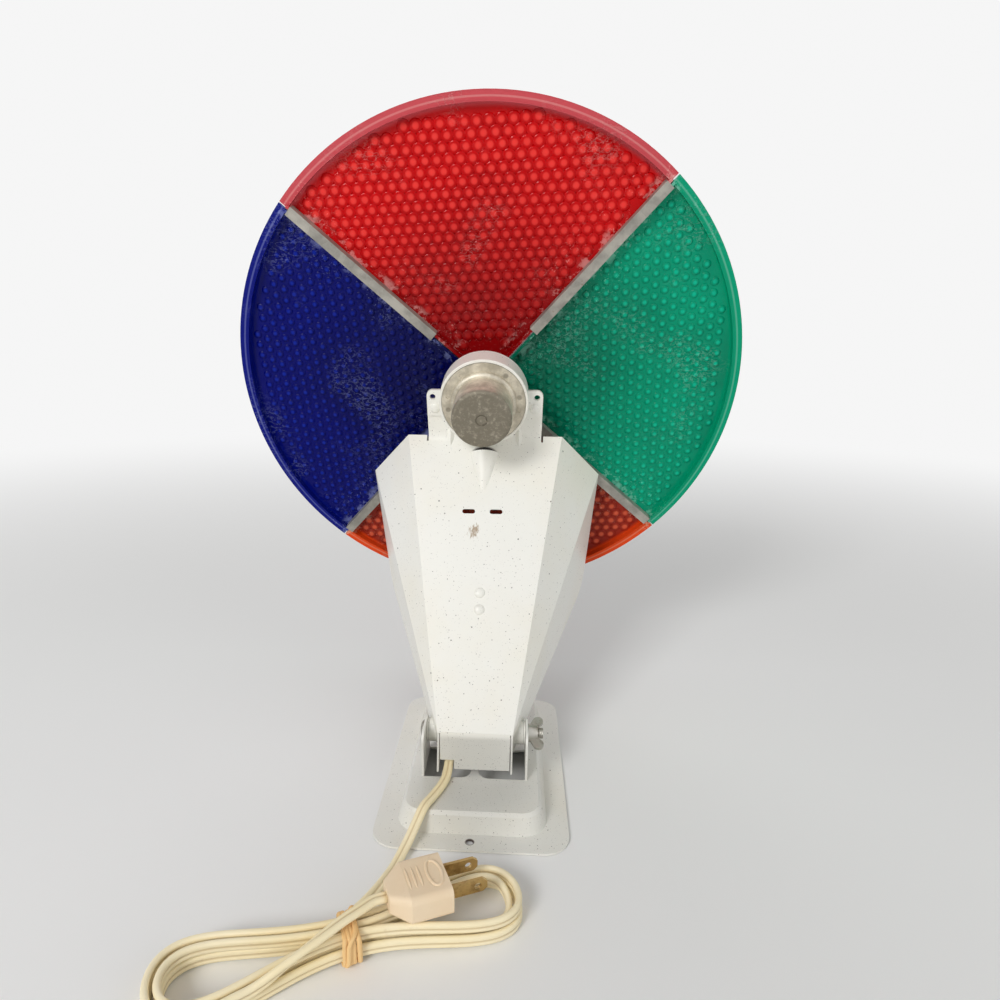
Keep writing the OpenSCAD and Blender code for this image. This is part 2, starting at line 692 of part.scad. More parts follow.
// Half section of the can, from its mouth at the cover to its closed end
module motor_can() {
    r = can_d / 2;
    end_round = 2.2;
    foot_round = min(shoulder_h - 0.4, shoulder_d / 2 - r - 0.2);
    outline = concat([[0, -can_len], [2.6, -can_len], [2.6, 0.6 - can_len], [3.4, 0.6 - can_len],
        [3.4, -can_len]],
        arc([r - end_round, end_round - can_len], end_round, 270, 360, 6),
        [[r, -shoulder_h]],
        arc([shoulder_d / 2 - foot_round, foot_round - shoulder_h], foot_round, 270, 360, 6),
        [[shoulder_d / 2, 0], [r - can_t, 0], [r - can_t, 1.4 - can_len], [0, 1.4 - can_len]]);
    color("gray") in_wheel() translate([0, 0, -cover_back]) rotate_extrude() polygon(outline);
}

module stator_coil() {
    r = can_d / 2 - can_t - gap;
    color("chocolate") in_wheel() translate([0, 0, -cover_back]) rotate_extrude()
        polygon([[8, -gap], [r, -gap], [r, -1.4], [r - 1, -1.4], [r - 1, 3.4 - can_len],
            [r, 3.4 - can_len], [r, 1.8 - can_len], [8, 1.8 - can_len]]);
}

module gear_pin() {
    color("silver") in_wheel() rotate(gear_side) translate([gear_axis, 0, 0])
        disc(gear_pin_d / 2, -case_back - cover_t / 2 + 0.05, -case_front - case_t / 2 - 0.05);
}

module toothed(z, level, width, turn) {
    translate([0, 0, -level - width]) rotate(turn) linear_extrude(width) polygon(gear_outline(z));
}

// A wheel gear and the pinion in front of it, in one piece
module compound_gear(level, turn, bore) {
    difference() {
        union() {
            toothed(gear_z, level, gear_w, turn + 180 / gear_z);
            toothed(pinion_z, level - gear_step, gear_step + 0.1, turn);
        }
        disc(bore / 2 + bearing_play, -level - gear_w - 1, -level + gear_step + 1);
    }
}

module rotor() {
    color("dimgray") in_wheel() {
        disc(7, 3.5 - can_back, -cover_back - 1.2);
        disc(rotor_pin_d / 2, 1.8 - can_back, -level_1 - gear_w);
        toothed(pinion_z, level_1, gear_w + 0.1, gear_side);
    }
}

module first_gear() {
    color("goldenrod") in_wheel() rotate(gear_side) translate([gear_axis, 0, 0])
        compound_gear(level_1, 180, gear_pin_d);
}

module second_gear() {
    color("goldenrod") in_wheel() compound_gear(level_2, gear_side, rotor_pin_d);
}

module third_gear() {
    color("goldenrod") in_wheel() rotate(gear_side) translate([gear_axis, 0, 0])
        compound_gear(level_3, 180, gear_pin_d);
}

module output_gear() {
    color("goldenrod") in_wheel() difference() {
        toothed(gear_z, level_4, gear_w, gear_side + 180 / gear_z);
        disc(shaft_d / 2, -level_4 - gear_w - 1, -level_4 + 1);
    }
}

module output_shaft() {
    color("silver") in_wheel() {
        disc(shaft_d / 2, -level_4 - gear_w, sector_t + hub_disc_t + nut_h + 1);
        disc(rotor_pin_d / 2, -level_2 - gear_w, -level_4 - gear_w + 0.1);
    }
}

lead_d = 2.2;
round_eight = [for (i = [0:7]) lead_d / 2 * [cos(45 * i), sin(45 * i)]];

// A place in the lead tunnel: share of its length below the mouth, and share of its rise in from the panel
function tunnel_point(down, in) =
    panel_point(0, panel_len - bend_run - tunnel_drop - down * tunnel_len, in * tunnel_rise);

module motor_leads() {
    route = [wheel_point(0, -cup_r - 0.6 * lead_d, plate_back + 1.15 * lead_d),
        panel_point(0, panel_len - bend_run - lead_d, -0.7 * lead_d), tunnel_point(0.05, -0.24),
        tunnel_point(0.3, 0.02), tunnel_point(0.55, 0.35), tunnel_point(0.85, 0.75),
        panel_point(2 * lead_d, slot_up, 2.7 * lead_d),
        panel_point(5 * lead_d, slot_up - 8 * lead_d, 2.7 * lead_d),
        panel_point(6.4 * lead_d, rivet_up + 6 * lead_d, 2.3 * lead_d),
        panel_point(7.7 * lead_d, rivet_up - 2.3 * lead_d, 2.3 * lead_d),
        panel_point(8.6 * lead_d, rivet_up - 8.6 * lead_d, 3.6 * lead_d)];
    color("black") sweep(route, round_eight);
}

module lamp_socket() {
    color("saddlebrown") in_lamp() difference() {
        union() {
            disc(socket_d / 2, 0, socket_len);
            disc(socket_d / 2 - 3, socket_len, socket_len + 3);
        }
        disc(cap_d / 2 + 1, socket_floor, socket_len + 4);
        disc(2, -1, socket_floor + 1);
    }
}

module socket_shell() {
    color("gold") in_lamp() difference() {
        disc(cap_d / 2 + 0.85, socket_floor + gap / 3, socket_len - 4);
        disc(cap_d / 2 + 0.35, socket_floor + 0.9, socket_len);
    }
}

lamp_foot = socket_floor + 1.5 + cap_len;
lamp_face = socket_floor + 1.5 + lamp_len;
neck_r = cap_d / 2 - 1;
glass_t = 0.9;

module lamp_cap() {
    color("silver") in_lamp() difference() {
        union() {
            disc(cap_d / 2, socket_floor + 4, lamp_foot);
            disc(5, socket_floor + 1.4, socket_floor + 4.2);
        }
        disc(cap_d / 2 - 0.6, socket_floor + 6, lamp_foot + 1);
    }
}

// Reflector bulb: neck, flare and domed face, blown to one wall thickness and open at the neck
function bulb_outline(r, neck, low, face, dome) = concat(
    [for (i = [0:10]) let (t = i / 10)
        [neck + (r - neck) * pow(sin(90 * t), 1.5), low + 14 + (face - low - dome - 18) * t]],
    [for (i = [0:8]) let (a = 90 * i / 8) [r * cos(a), face - dome + dome * sin(a)]]);

module flood_lamp() {
    skin = bulb_outline(lamp_d / 2, neck_r, lamp_foot, lamp_face, lamp_dome);
    lining = bulb_outline(lamp_d / 2 - glass_t, neck_r - glass_t, lamp_foot, lamp_face - glass_t,
        lamp_dome - glass_t);
    color("white") in_lamp() rotate_extrude() polygon(concat([[neck_r, lamp_foot + gap]], skin,
        [for (i = [len(lining) - 1:-1:0]) lining[i]], [[neck_r - glass_t, lamp_foot + gap]]));
}

lamp_dome = 8;
filament_w = 18;
filament_up = 34;
support_len = 22;
stem_r = 4;
stem_len = 14;

module lamp_filament() {
    coil_up = lamp_foot + filament_up;
    color("gray") in_lamp() {
        disc(neck_r - glass_t - 0.02, lamp_foot + 1, lamp_foot + 3);
        disc(stem_r, lamp_foot + 2, lamp_foot + stem_len);
        for (x = [-1, 1]) translate([0.75 * stem_r * x, 0, lamp_foot + stem_len - sheet])
            rotate([0, 14 * x, 0]) cylinder(r = 0.45, h = support_len);
        translate([-filament_w / 2, 0, coil_up - 0.4]) rotate([0, 90, 0])
            cylinder(r = 0.8, h = filament_w);
    }
}

module socket_bracket() {
    leg = rivet_up + 6;
    reach = (lamp_in - sheet - gap / 3) / cos(lamp_turn) - 0.5;
    color("silver") difference() {
        union() {
            in_panel() translate([-bracket_w / 2, lamp_up - 4, sheet])
                cube([bracket_w, leg - lamp_up + 4, bracket_t]);
            in_lamp() translate([-bracket_w / 2, -socket_d / 2 + 3, -bracket_t - 0.1])
                cube([bracket_w, socket_d / 2 - 3 + reach, bracket_t]);
        }
        for (i = [0, 1]) in_panel() translate([0, rivet_up - i * rivet_pitch, 0])
            cylinder(d = shank_d + 2 * bearing_play, h = sheet + bracket_t + 1);
        in_lamp() disc(2, -bracket_t - 1, 1);
    }
}

module bracket_rivets() {
    color("ivory") in_panel() for (i = [0, 1])
        translate([0, rivet_up - i * rivet_pitch, 0]) rotate([180, 0, 0])
            rivet(sheet + bracket_t, shank_d + 1.6);
}

spigot_r = bush_d / 2 - 1;

module hub_bush() {
    color("silver") in_wheel() difference() {
        union() {
            disc(bush_d / 2, -bush_len, -hub_disc_t);
            disc(hub_disc_d / 2, -hub_disc_t, 0);
            disc(spigot_r, -0.1, sector_t);
        }
        disc(shaft_d / 2 + bearing_play, -bush_len - 1, sector_t + 1);
    }
}

module hub_disc() {
    color("silver") in_wheel() ring(hub_disc_d / 2, shaft_d / 2, sector_t, sector_t + hub_disc_t);
}

module hub_nut() {
    color("silver") in_wheel() difference() {
        translate([0, 0, sector_t + hub_disc_t]) cylinder(d = nut_af / cos(30), h = nut_h, $fn = 6);
        disc(shaft_d / 2, 0, 20);
    }
}

joint_gap = 0.4;
wheel_turn = 41.6;

module sector_edge() {
    r = wheel_r;
    c = r - corner_r;
    low = joint_gap + corner_r;
    turn = asin(low / c);
    corner = c * [cos(turn), sin(turn)];
    square([r * 0.9, r * 0.9]);
    intersection() {
        circle(r);
        polygon([[0, 0], [corner[0], 0], 2 * r * [cos(turn), sin(turn)], 2 * r * [sin(turn), cos(turn)],
            [0, corner[0]]]);
    }
    translate(corner) circle(corner_r);
    translate([corner[1], corner[0]]) circle(corner_r);
}

// One quarter: floor, stepped rim wall with turned-out flange, and a wall along each joint
module sector() {
    r = wheel_r;
    wall_r = r - rim_flange_w;
    from = spigot_r + gap;
    clear = joint_gap;
    flange = sector_wall - rim_depth;
    rim = [[from, 0], [from, sector_t], [wall_r + sector_wall, sector_t], [wall_r + sector_wall, flange],
        [r - 0.8, flange], [r, 0.8 - rim_depth], [r, -rim_depth], [wall_r + 0.5, -rim_depth],
        [wall_r + 0.5, -rim_depth - 0.7], [wall_r, -rim_depth - 0.7], [wall_r, 0]];
    intersection() {
        union() {
            rotate_extrude(angle = 90, $fn = 180) polygon(rim);
            for (m = [0, 1]) mirror([m, -m, 0]) translate([hub_disc_d / 2 + 1, clear, -joint_depth])
                cube([wall_r - hub_disc_d / 2, sector_wall, joint_depth + 0.1]);
        }
        translate([0, 0, -joint_depth - 1]) linear_extrude(joint_depth + sector_t + 2) intersection() {
            sector_edge($fn = 180);
            translate([clear, clear]) square(r);
        }
    }
}

module placed_sector(quarter) {
    in_wheel() rotate(wheel_turn + 90 * quarter) sector();
}

module red_sector() {
    color("red") placed_sector(0);
}

module blue_sector() {
    color("blue") placed_sector(3);
}

module amber_sector() {
    color("orange") placed_sector(2);
}

module green_sector() {
    color("green") placed_sector(1);
}

module sector_clips() {
    half = joint_gap + sector_wall + 0.1;
    len = wheel_r - rim_flange_w - clip_inset + 3 - clip_inner;
    deep = joint_depth - 0.6;
    color("lightgray") in_wheel() for (q = [0:3])
        rotate(wheel_turn + 90 * q) translate([clip_inner, 0, -joint_depth - 0.1 - clip_t]) {
            translate([0, -half - clip_t, 0]) cube([len, 2 * half + 2 * clip_t, clip_t]);
            for (m = [0, 1]) mirror([0, m, 0]) translate([0, half, 0]) cube([len, clip_t, deep + clip_t]);
        }
}

module supply_lead() {
    route = [panel_point(9, lamp_up - 2, lamp_in - 4), panel_point(12, lamp_up - 7, lamp_in - 6),
        panel_point(14, lamp_up - 12, lamp_in - 10), [14.4, 17.5, 31], [14.5, 19, 28.4]];
    color("ivory") sweep(route, flat_eight * 0.8);
}

module cord() {
    color("ivory") sweep(cord_path, flat_eight, [0, 90], [0.66, 1]);
}

module cord_hank() {
    color("ivory") sweep(hank_path, flat_six, [90, 90]);
}

module cord_tail() {
    color("ivory") sweep(tail_path, flat_eight, [90, 0], [0, 0.8]);
}

module in_hank() {
    translate(hank_at) rotate(hank_turn) children();
}

module cord_band() {
    w = 2 * (hank_waist - 0.75 * hank_step + cord_t / 2 + band_t + 4 * gap);
    h = floor_gap + cord_w + hank_layer + waist_lift + band_t + 2 * gap;
    color("burlywood") in_hank() translate([-4, 0, h / 2]) rotate([90, 0, 90]) linear_extrude(8)
        difference() {
            rounded_rect(w, h, 2 * band_t);
            rounded_rect(w - 2 * band_t, h - 2 * band_t, band_t);
        }
}

module plug_body() {
    color("ivory") in_hank() translate(plug_rear) difference() {
        rotate([90, 0, 90]) union() {
            translate([0, 0, 8]) linear_extrude(plug_len - 8) rounded_rect(plug_w, plug_t, 3.2);
            hull() {
                linear_extrude(0.1) rounded_rect(plug_w * 0.5, plug_t * 0.7, 3, $fn = 32);
                translate([0, 0, 8]) linear_extrude(0.1) rounded_rect(plug_w, plug_t, 3.2, $fn = 32);
            }
        }
        for (y = [-1, 1]) translate([plug_len - 6, y * blade_pitch / 2 - 0.8, -3.3]) cube([7, 1.6, 6.6]);
    }
}

module plug_blades() {
    color("gold") in_hank() translate(plug_rear) for (y = [-1, 1])
        translate([plug_len - 5.9, y * blade_pitch / 2 + 0.75, 0]) rotate([90, 0, 0]) linear_extrude(1.5)
            difference() {
                len = blade_len + 5.9;
                polygon([[0, -3.2], [len - 2, -3.2], [len, -1.6], [len, 1.6], [len - 2, 3.2], [0, 3.2]]);
                translate([len - 4.4, 0]) circle(1.6, $fn = 24);
            }
}

base_plate();
pivot_bolt();
pivot_washers();
wing_nut();
lamp_housing();
motor_cup();
motor_rivets();
gear_case();
motor_cover();
motor_can();
stator_coil();
gear_pin();
rotor();
first_gear();
second_gear();
third_gear();
output_gear();
output_shaft();
motor_leads();
lamp_socket();
socket_shell();
socket_bracket();
bracket_rivets();
lamp_cap();
lamp_filament();
flood_lamp();
hub_bush();
hub_disc();
hub_nut();
red_sector();
green_sector();
amber_sector();
blue_sector();
sector_clips();
supply_lead();
cord();
cord_hank();
cord_tail();
cord_band();
plug_body();
plug_blades();
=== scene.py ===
"""Looks of the color wheel light: finishes, beaded lenses, cord, band, plug grips, studio and camera."""
import logging
import math
from dataclasses import dataclass, field
from enum import Enum
from typing import Callable, Iterable, Sequence, Union

import bmesh
import bpy
from mathutils import Euler, Matrix, Vector

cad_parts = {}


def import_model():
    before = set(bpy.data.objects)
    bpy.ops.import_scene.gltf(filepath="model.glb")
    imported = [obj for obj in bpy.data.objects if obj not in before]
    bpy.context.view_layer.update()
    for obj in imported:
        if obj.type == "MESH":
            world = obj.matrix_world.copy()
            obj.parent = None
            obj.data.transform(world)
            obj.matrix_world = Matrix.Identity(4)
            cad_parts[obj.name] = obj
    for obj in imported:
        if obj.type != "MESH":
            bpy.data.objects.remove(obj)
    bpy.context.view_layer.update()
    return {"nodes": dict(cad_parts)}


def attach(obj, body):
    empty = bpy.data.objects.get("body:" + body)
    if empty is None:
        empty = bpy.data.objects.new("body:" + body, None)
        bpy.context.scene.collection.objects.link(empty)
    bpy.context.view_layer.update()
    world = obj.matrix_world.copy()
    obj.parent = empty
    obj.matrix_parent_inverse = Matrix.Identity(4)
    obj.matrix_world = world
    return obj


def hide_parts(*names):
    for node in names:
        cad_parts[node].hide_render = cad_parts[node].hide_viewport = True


LOG = logging.getLogger("color_wheel_light")
MM = 0.001
Colour = tuple[float, float, float, float]
Point = tuple[float, float, float]
Span = tuple[float, float]
Material = bpy.types.Material
Object = bpy.types.Object


def srgb(red: int, green: int, blue: int) -> Colour:
    """Turn a colour as seen on a screen into linear light.

    Args:
        red: Red from 0 to 255.
        green: Green from 0 to 255.
        blue: Blue from 0 to 255.

    Returns:
        The linear colour with full alpha.
    """
    shares = [value / 255 for value in (red, green, blue)]
    linear = [c / 12.92 if c < 0.04045 else ((c + 0.055) / 1.055) ** 2.4 for c in shares]
    return (*linear, 1.0)


@dataclass(frozen=True)
class Place:
    """A frame of the object: where it stands and how far it is turned about X."""

    origin: Point
    turn_x: float

    def matrix(self) -> Matrix:
        """The transform from this frame to the object's frame."""
        return Matrix.Translation(self.origin) @ Matrix.Rotation(self.turn_x, 4, "X")

    def point(self, x: float, y: float, z: float) -> Vector:
        """A point of this frame, in the object's frame."""
        return self.matrix() @ Vector((x, y, z))


LEAN = math.radians(16.4)
WHEEL = Place((0.0, -0.075, 0.2235), math.pi / 2 - LEAN)
PANEL_FOOT = Vector((0.0, 0.027, 0.0365))
BEND_DOWN, BEND_BACK = 0.0267, 0.026
PANEL_TOP = WHEEL.point(0, -BEND_DOWN, -BEND_BACK)
PANEL_LEAN = math.atan2(PANEL_FOOT.y - PANEL_TOP.y, PANEL_TOP.z - PANEL_FOOT.z)
PANEL = Place(tuple(PANEL_FOOT), math.pi / 2 + PANEL_LEAN)
LAMP_UP, LAMP_DEEP, LAMP_LEAN = 0.020, 0.0205, math.radians(11.2)
LAMP = Place(tuple(PANEL.point(0, LAMP_UP, LAMP_DEEP)), PANEL.turn_x + LAMP_LEAN - math.pi / 2)
HANK_AT = Vector((0.046, 0.137, 0.0))
HANK_TURN = math.radians(203)
HANK = Matrix.Translation(HANK_AT) @ Matrix.Rotation(HANK_TURN, 4, "Z")


class Body(Enum):
    """The bodies that made pieces ride on."""

    BASE = "base"
    HEAD = "head"
    WHEEL = "wheel"


class Slot(Enum):
    """Names of finishes; the lens materials are named after theirs."""

    CORD = "cord_ivory"
    BAND = "band_tan"
    LEAD = "lead_black"
    RED = "red_lens"
    GREEN = "green_lens"
    AMBER = "amber_lens"
    BLUE = "blue_lens"


# Node trees


Value = Union["Field", float]
WHITE = (1.0, 1.0, 1.0, 1.0)
CROWN = "crown"


def math_operator(operation: str, flipped: bool = False) -> Callable[..., "Field"]:
    """Make an operator of Field, which adds one Math node.

    Args:
        operation: What the node does.
        flipped: Take the other value first, as the reflected form does.

    Returns:
        The operator.
    """
    def apply(this: "Field", other: Value = 0.0) -> "Field":
        """Add the node on both values."""
        pair = (other, this) if flipped else (this, other)
        return this.graph.math(operation, *pair)
    return apply


class Field:
    """A socket of a node tree whose values can be added, multiplied and compared."""

    __add__, __radd__ = math_operator("ADD"), math_operator("ADD", True)
    __sub__, __rsub__ = math_operator("SUBTRACT"), math_operator("SUBTRACT", True)
    __mul__, __rmul__ = math_operator("MULTIPLY"), math_operator("MULTIPLY", True)
    __truediv__, __rtruediv__ = math_operator("DIVIDE"), math_operator("DIVIDE", True)
    __mod__, __pow__ = math_operator("FLOORED_MODULO"), math_operator("POWER")
    __lt__, __gt__ = math_operator("LESS_THAN"), math_operator("GREATER_THAN")
    __abs__, __round__ = math_operator("ABSOLUTE"), math_operator("ROUND")
    most, least = math_operator("MAXIMUM"), math_operator("MINIMUM")

    def __init__(self, graph: "Graph", socket: bpy.types.NodeSocket | None) -> None:
        """Keep the tree and the socket."""
        self.graph, self.socket = graph, socket

    def of(self, output: str) -> "Field":
        """Another output of the same node."""
        return Field(self.graph, self.socket.node.outputs[output])

    def wave(self) -> "Field":
        """A zigzag from 0 to 1 and back within each whole number."""
        return abs(self.graph.math("FRACT", self) - 0.5) * 2

    def smooth(self, low: float, high: float) -> "Field":
        """A soft step from zero at low to one at high."""
        return self.graph.node("ShaderNodeMapRange", {"interpolation_type": "SMOOTHSTEP"},
                               {"Value": self, "From Min": low, "From Max": high})

    def fade(self, low: float, high: float) -> "Field":
        """A soft step from one at low to zero at high."""
        return 1 - self.smooth(low, high)

    def away(self, other: "Field") -> "Field":
        """Distance from the point where this and the other value are zero."""
        return (self ** 2 + other ** 2) ** 0.5


class Graph:
    """A node tree under construction."""

    def __init__(self, tree: bpy.types.NodeTree) -> None:
        """Take over a tree and empty it."""
        self.tree = tree
        self.tree.nodes.clear()

    def node(self, kind: str, settings: dict[str, object] | None = None,
             inputs: dict[Union[int, str], object] | None = None, out: Union[int, str] = 0) -> Field:
        """Add a node, set it and link it.

        Args:
            kind: Blender's type name of the node.
            settings: Its properties, which are set first.
            inputs: Values, fields or lists of fields for its sockets, by name or index.
            out: The output that is returned, where it has one.

        Returns:
            The chosen output.
        """
        made = self.tree.nodes.new(kind)
        for key, value in (settings or {}).items():
            setattr(made, key, value)
        for key, value in (inputs or {}).items():
            links = value if isinstance(value, list) else [value]
            for item in links:
                if isinstance(item, Field):
                    self.tree.links.new(item.socket, made.inputs[key])
                else:
                    made.inputs[key].default_value = item
        return Field(self, made.outputs[out] if made.outputs else None)

    def math(self, operation: str, first: Value, second: Value = 0.0) -> Field:
        """Add a Math node on two values."""
        return self.node("ShaderNodeMath", {"operation": operation}, {0: first, 1: second})

    def axes(self, coords: Field) -> tuple[Field, Field, Field]:
        """The three parts of a position."""
        parts = self.node("ShaderNodeSeparateXYZ", {}, {0: coords})
        return parts, parts.of("Y"), parts.of("Z")

    def vector(self, x: Value = 0.0, y: Value = 0.0, z: Value = 0.0) -> Field:
        """A position from three values."""
        return self.node("ShaderNodeCombineXYZ", {}, {"X": x, "Y": y, "Z": z})


class Shader(Graph):
    """One material under construction, with its node tree."""

    def __init__(self, name: str) -> None:
        """Start an empty node material.

        Args:
            name: Name of the material.
        """
        self.material = bpy.data.materials.new(name)
        self.material.use_nodes = True
        super().__init__(self.material.node_tree)

    def coords(self, place: Place | None = None) -> Field:
        """Object coordinates.

        Args:
            place: The frame of the object that they are seen from, if not its own.

        Returns:
            The coordinates.
        """
        where = self.node("ShaderNodeTexCoord", out="Object")
        if place is None:
            return where
        return self.node("ShaderNodeMapping", {"vector_type": "TEXTURE"},
                         {"Vector": where, "Location": place.origin, "Rotation": (place.turn_x, 0, 0)})

    def stretch(self, coords: Field, scale: Point) -> Field:
        """Coordinates scaled along each axis."""
        return self.node("ShaderNodeMapping", {}, {"Vector": coords, "Scale": scale})

    def noise(self, coords: Field, scale: float, detail: float = 3.0, rough: float = 0.55) -> Field:
        """Cloudy noise from 0 to 1."""
        return self.node("ShaderNodeTexNoise", {}, {"Vector": coords, "Scale": scale, "Detail": detail,
                                                    "Roughness": rough})

    def cells(self, coords: Field, scale: float) -> Field:
        """Scattered cells: the distance to each cell's seed."""
        return self.node("ShaderNodeTexVoronoi", {}, {"Vector": coords, "Scale": scale}, "Distance")

    def specks(self, coords: Field, scale: float, share: float, radius: float) -> Field:
        """Scattered round specks.

        Args:
            coords: Where.
            scale: Cells per metre.
            share: Share of the cells that have a speck.
            radius: Largest radius of a speck, as a share of a cell.

        Returns:
            One on a speck and zero elsewhere.
        """
        seed = self.cells(coords, scale)
        chance = self.node("ShaderNodeSeparateColor", {}, {0: seed.of("Color")})
        reach = radius * (0.35 + 0.65 * chance.of("Green"))
        return (chance < share) * (seed / reach).fade(0.6, 1.0)

    def mix(self, factor: Value, first: object, second: object) -> Field:
        """Blend two colours."""
        return self.node("ShaderNodeMix", {"data_type": "RGBA"}, {0: factor, 6: first, 7: second}, 2)

    def bump(self, height: Field, distance: float, strength: float) -> Field:
        """A surface roughened by a height from 0 to 1.

        Args:
            height: The height map.
            distance: Depth in metres of a full step.
            strength: Share of the effect.

        Returns:
            The normal.
        """
        return self.node("ShaderNodeBump", {}, {"Height": height, "Distance": distance,
                                                "Strength": strength})

    def surface(self, **sockets: object) -> Material:
        """Close the material with a Principled shader.

        Args:
            sockets: Values and fields by socket name, with underscores for spaces.

        Returns:
            The finished material.
        """
        named = {key.replace("_", " "): value for key, value in sockets.items()}
        return self.close(self.node("ShaderNodeBsdfPrincipled", {}, named))

    def close(self, shade: Field) -> Material:
        """Link a shader to the material's output."""
        self.node("ShaderNodeOutputMaterial", {}, {"Surface": shade})
        return self.material


# Finishes, with lengths in metres


@dataclass(frozen=True)
class Enamel:
    """White stoved enamel on sheet steel: dark flecks, faint yellowing, a rusty scuff, dust specks and
    painted shade at the foot, painted shade in the screw holes, a painted shadow over the tunnel's mouth.
    """

    name: str = "white_enamel"
    white: Colour = srgb(243, 242, 235)
    cream: Colour = srgb(240, 235, 219)
    fleck_and_hole_shade: Colour = srgb(78, 66, 60)
    rust: Colour = srgb(150, 118, 78)
    # colour of the painted shadow over the tunnel's mouth
    mouth_shadow: Colour = srgb(46, 42, 42)
    base_shade: Colour = srgb(168, 167, 160)
    scuff_up: float = 0.1150
    scuff_x: float = 0.0045
    scuff_reach: Span = (0.001, 0.0075)
    scuff_skin: float = 0.002
    mouth_up: float = 0.1645
    mouth_half: float = 0.0080
    mouth_rise: float = 0.0046
    mouth_skin: float = 0.0009
    screw_y: float = 0.070
    screw_r: float = 0.0020
    flange_high: float = 0.003
    foot_y: float = 0.040
    foot_reach: Span = (0.012, 0.045)
    foot_high: Span = (0.0325, 0.0365)

    def material(self) -> Material:
        """Build the finish.

        Returns:
            The finished material.
        """
        s = Shader(self.name)
        where = s.coords()
        tone = s.noise(where, 11, 4).smooth(0.4, 0.72)
        paint = s.mix(tone * 0.75, self.white, self.cream)
        marks = s.specks(where, 480, 0.5, 0.17).most(s.specks(where, 270, 0.2, 0.17))
        marks = marks.most(0.75 * s.specks(where, 900, 0.7, 0.2))
        across, back, high = s.axes(where)
        # The flange's screw holes take the fleck colour: painted shade on their walls, and worn enamel on a
        # thin ring round each.
        screw = across.away(abs(back) - self.screw_y)
        worn = screw.fade(self.screw_r, 1.35 * self.screw_r) * (high < self.flange_high)
        # Painted shade: the base is greyed all over, and more near the foot of the head, where dust specks
        # are scattered as well.
        near_foot = across.away(back - self.foot_y).fade(*self.foot_reach)
        low = high.fade(*self.foot_high)
        paint = s.mix(low * (0.15 + 0.4 * near_foot), paint, self.base_shade)
        marks = marks.most(0.8 * low * near_foot * s.specks(where, 1300, 0.6, 0.22))
        x, up, depth = s.axes(s.coords(PANEL))
        streak = s.noise(s.stretch(where, (1.0, 0.5, 0.5)), 420, 5, 0.7)
        near = (x - self.scuff_x).away((up - self.scuff_up) * 0.7).fade(*self.scuff_reach)
        scuff = (near * 0.42 + streak).smooth(0.80, 0.93) * (depth < self.scuff_skin)
        paint = s.mix((marks * 0.85).most(worn), paint, self.fleck_and_hole_shade)
        paint = s.mix(scuff * 0.8, paint, self.rust)
        # Painted shadow: a dark crescent on the panel just above the tunnel's mouth, where the opening lies
        # in shade.
        mouth = (x / self.mouth_half).away((up - self.mouth_up) / self.mouth_rise)
        shadow = mouth.fade(0.75, 1.05) * (up > self.mouth_up) * (abs(depth) < self.mouth_skin)
        paint = s.mix(shadow, paint, self.mouth_shadow)
        peel = s.noise(where, 750, 2)
        return s.surface(
            Base_Color=paint, Roughness=0.36 + 0.14 * s.noise(where, 60, 4) + 0.2 * marks,
            Coat_Weight=0.25, Coat_Roughness=0.2,
            Normal=s.bump(peel * 0.6 + (1 - marks) * 0.8, 0.00006, 0.5))


class Relief(Enum):
    """The two kinds of lens surface."""

    FIELD = "field"
    BEAD = "bead"


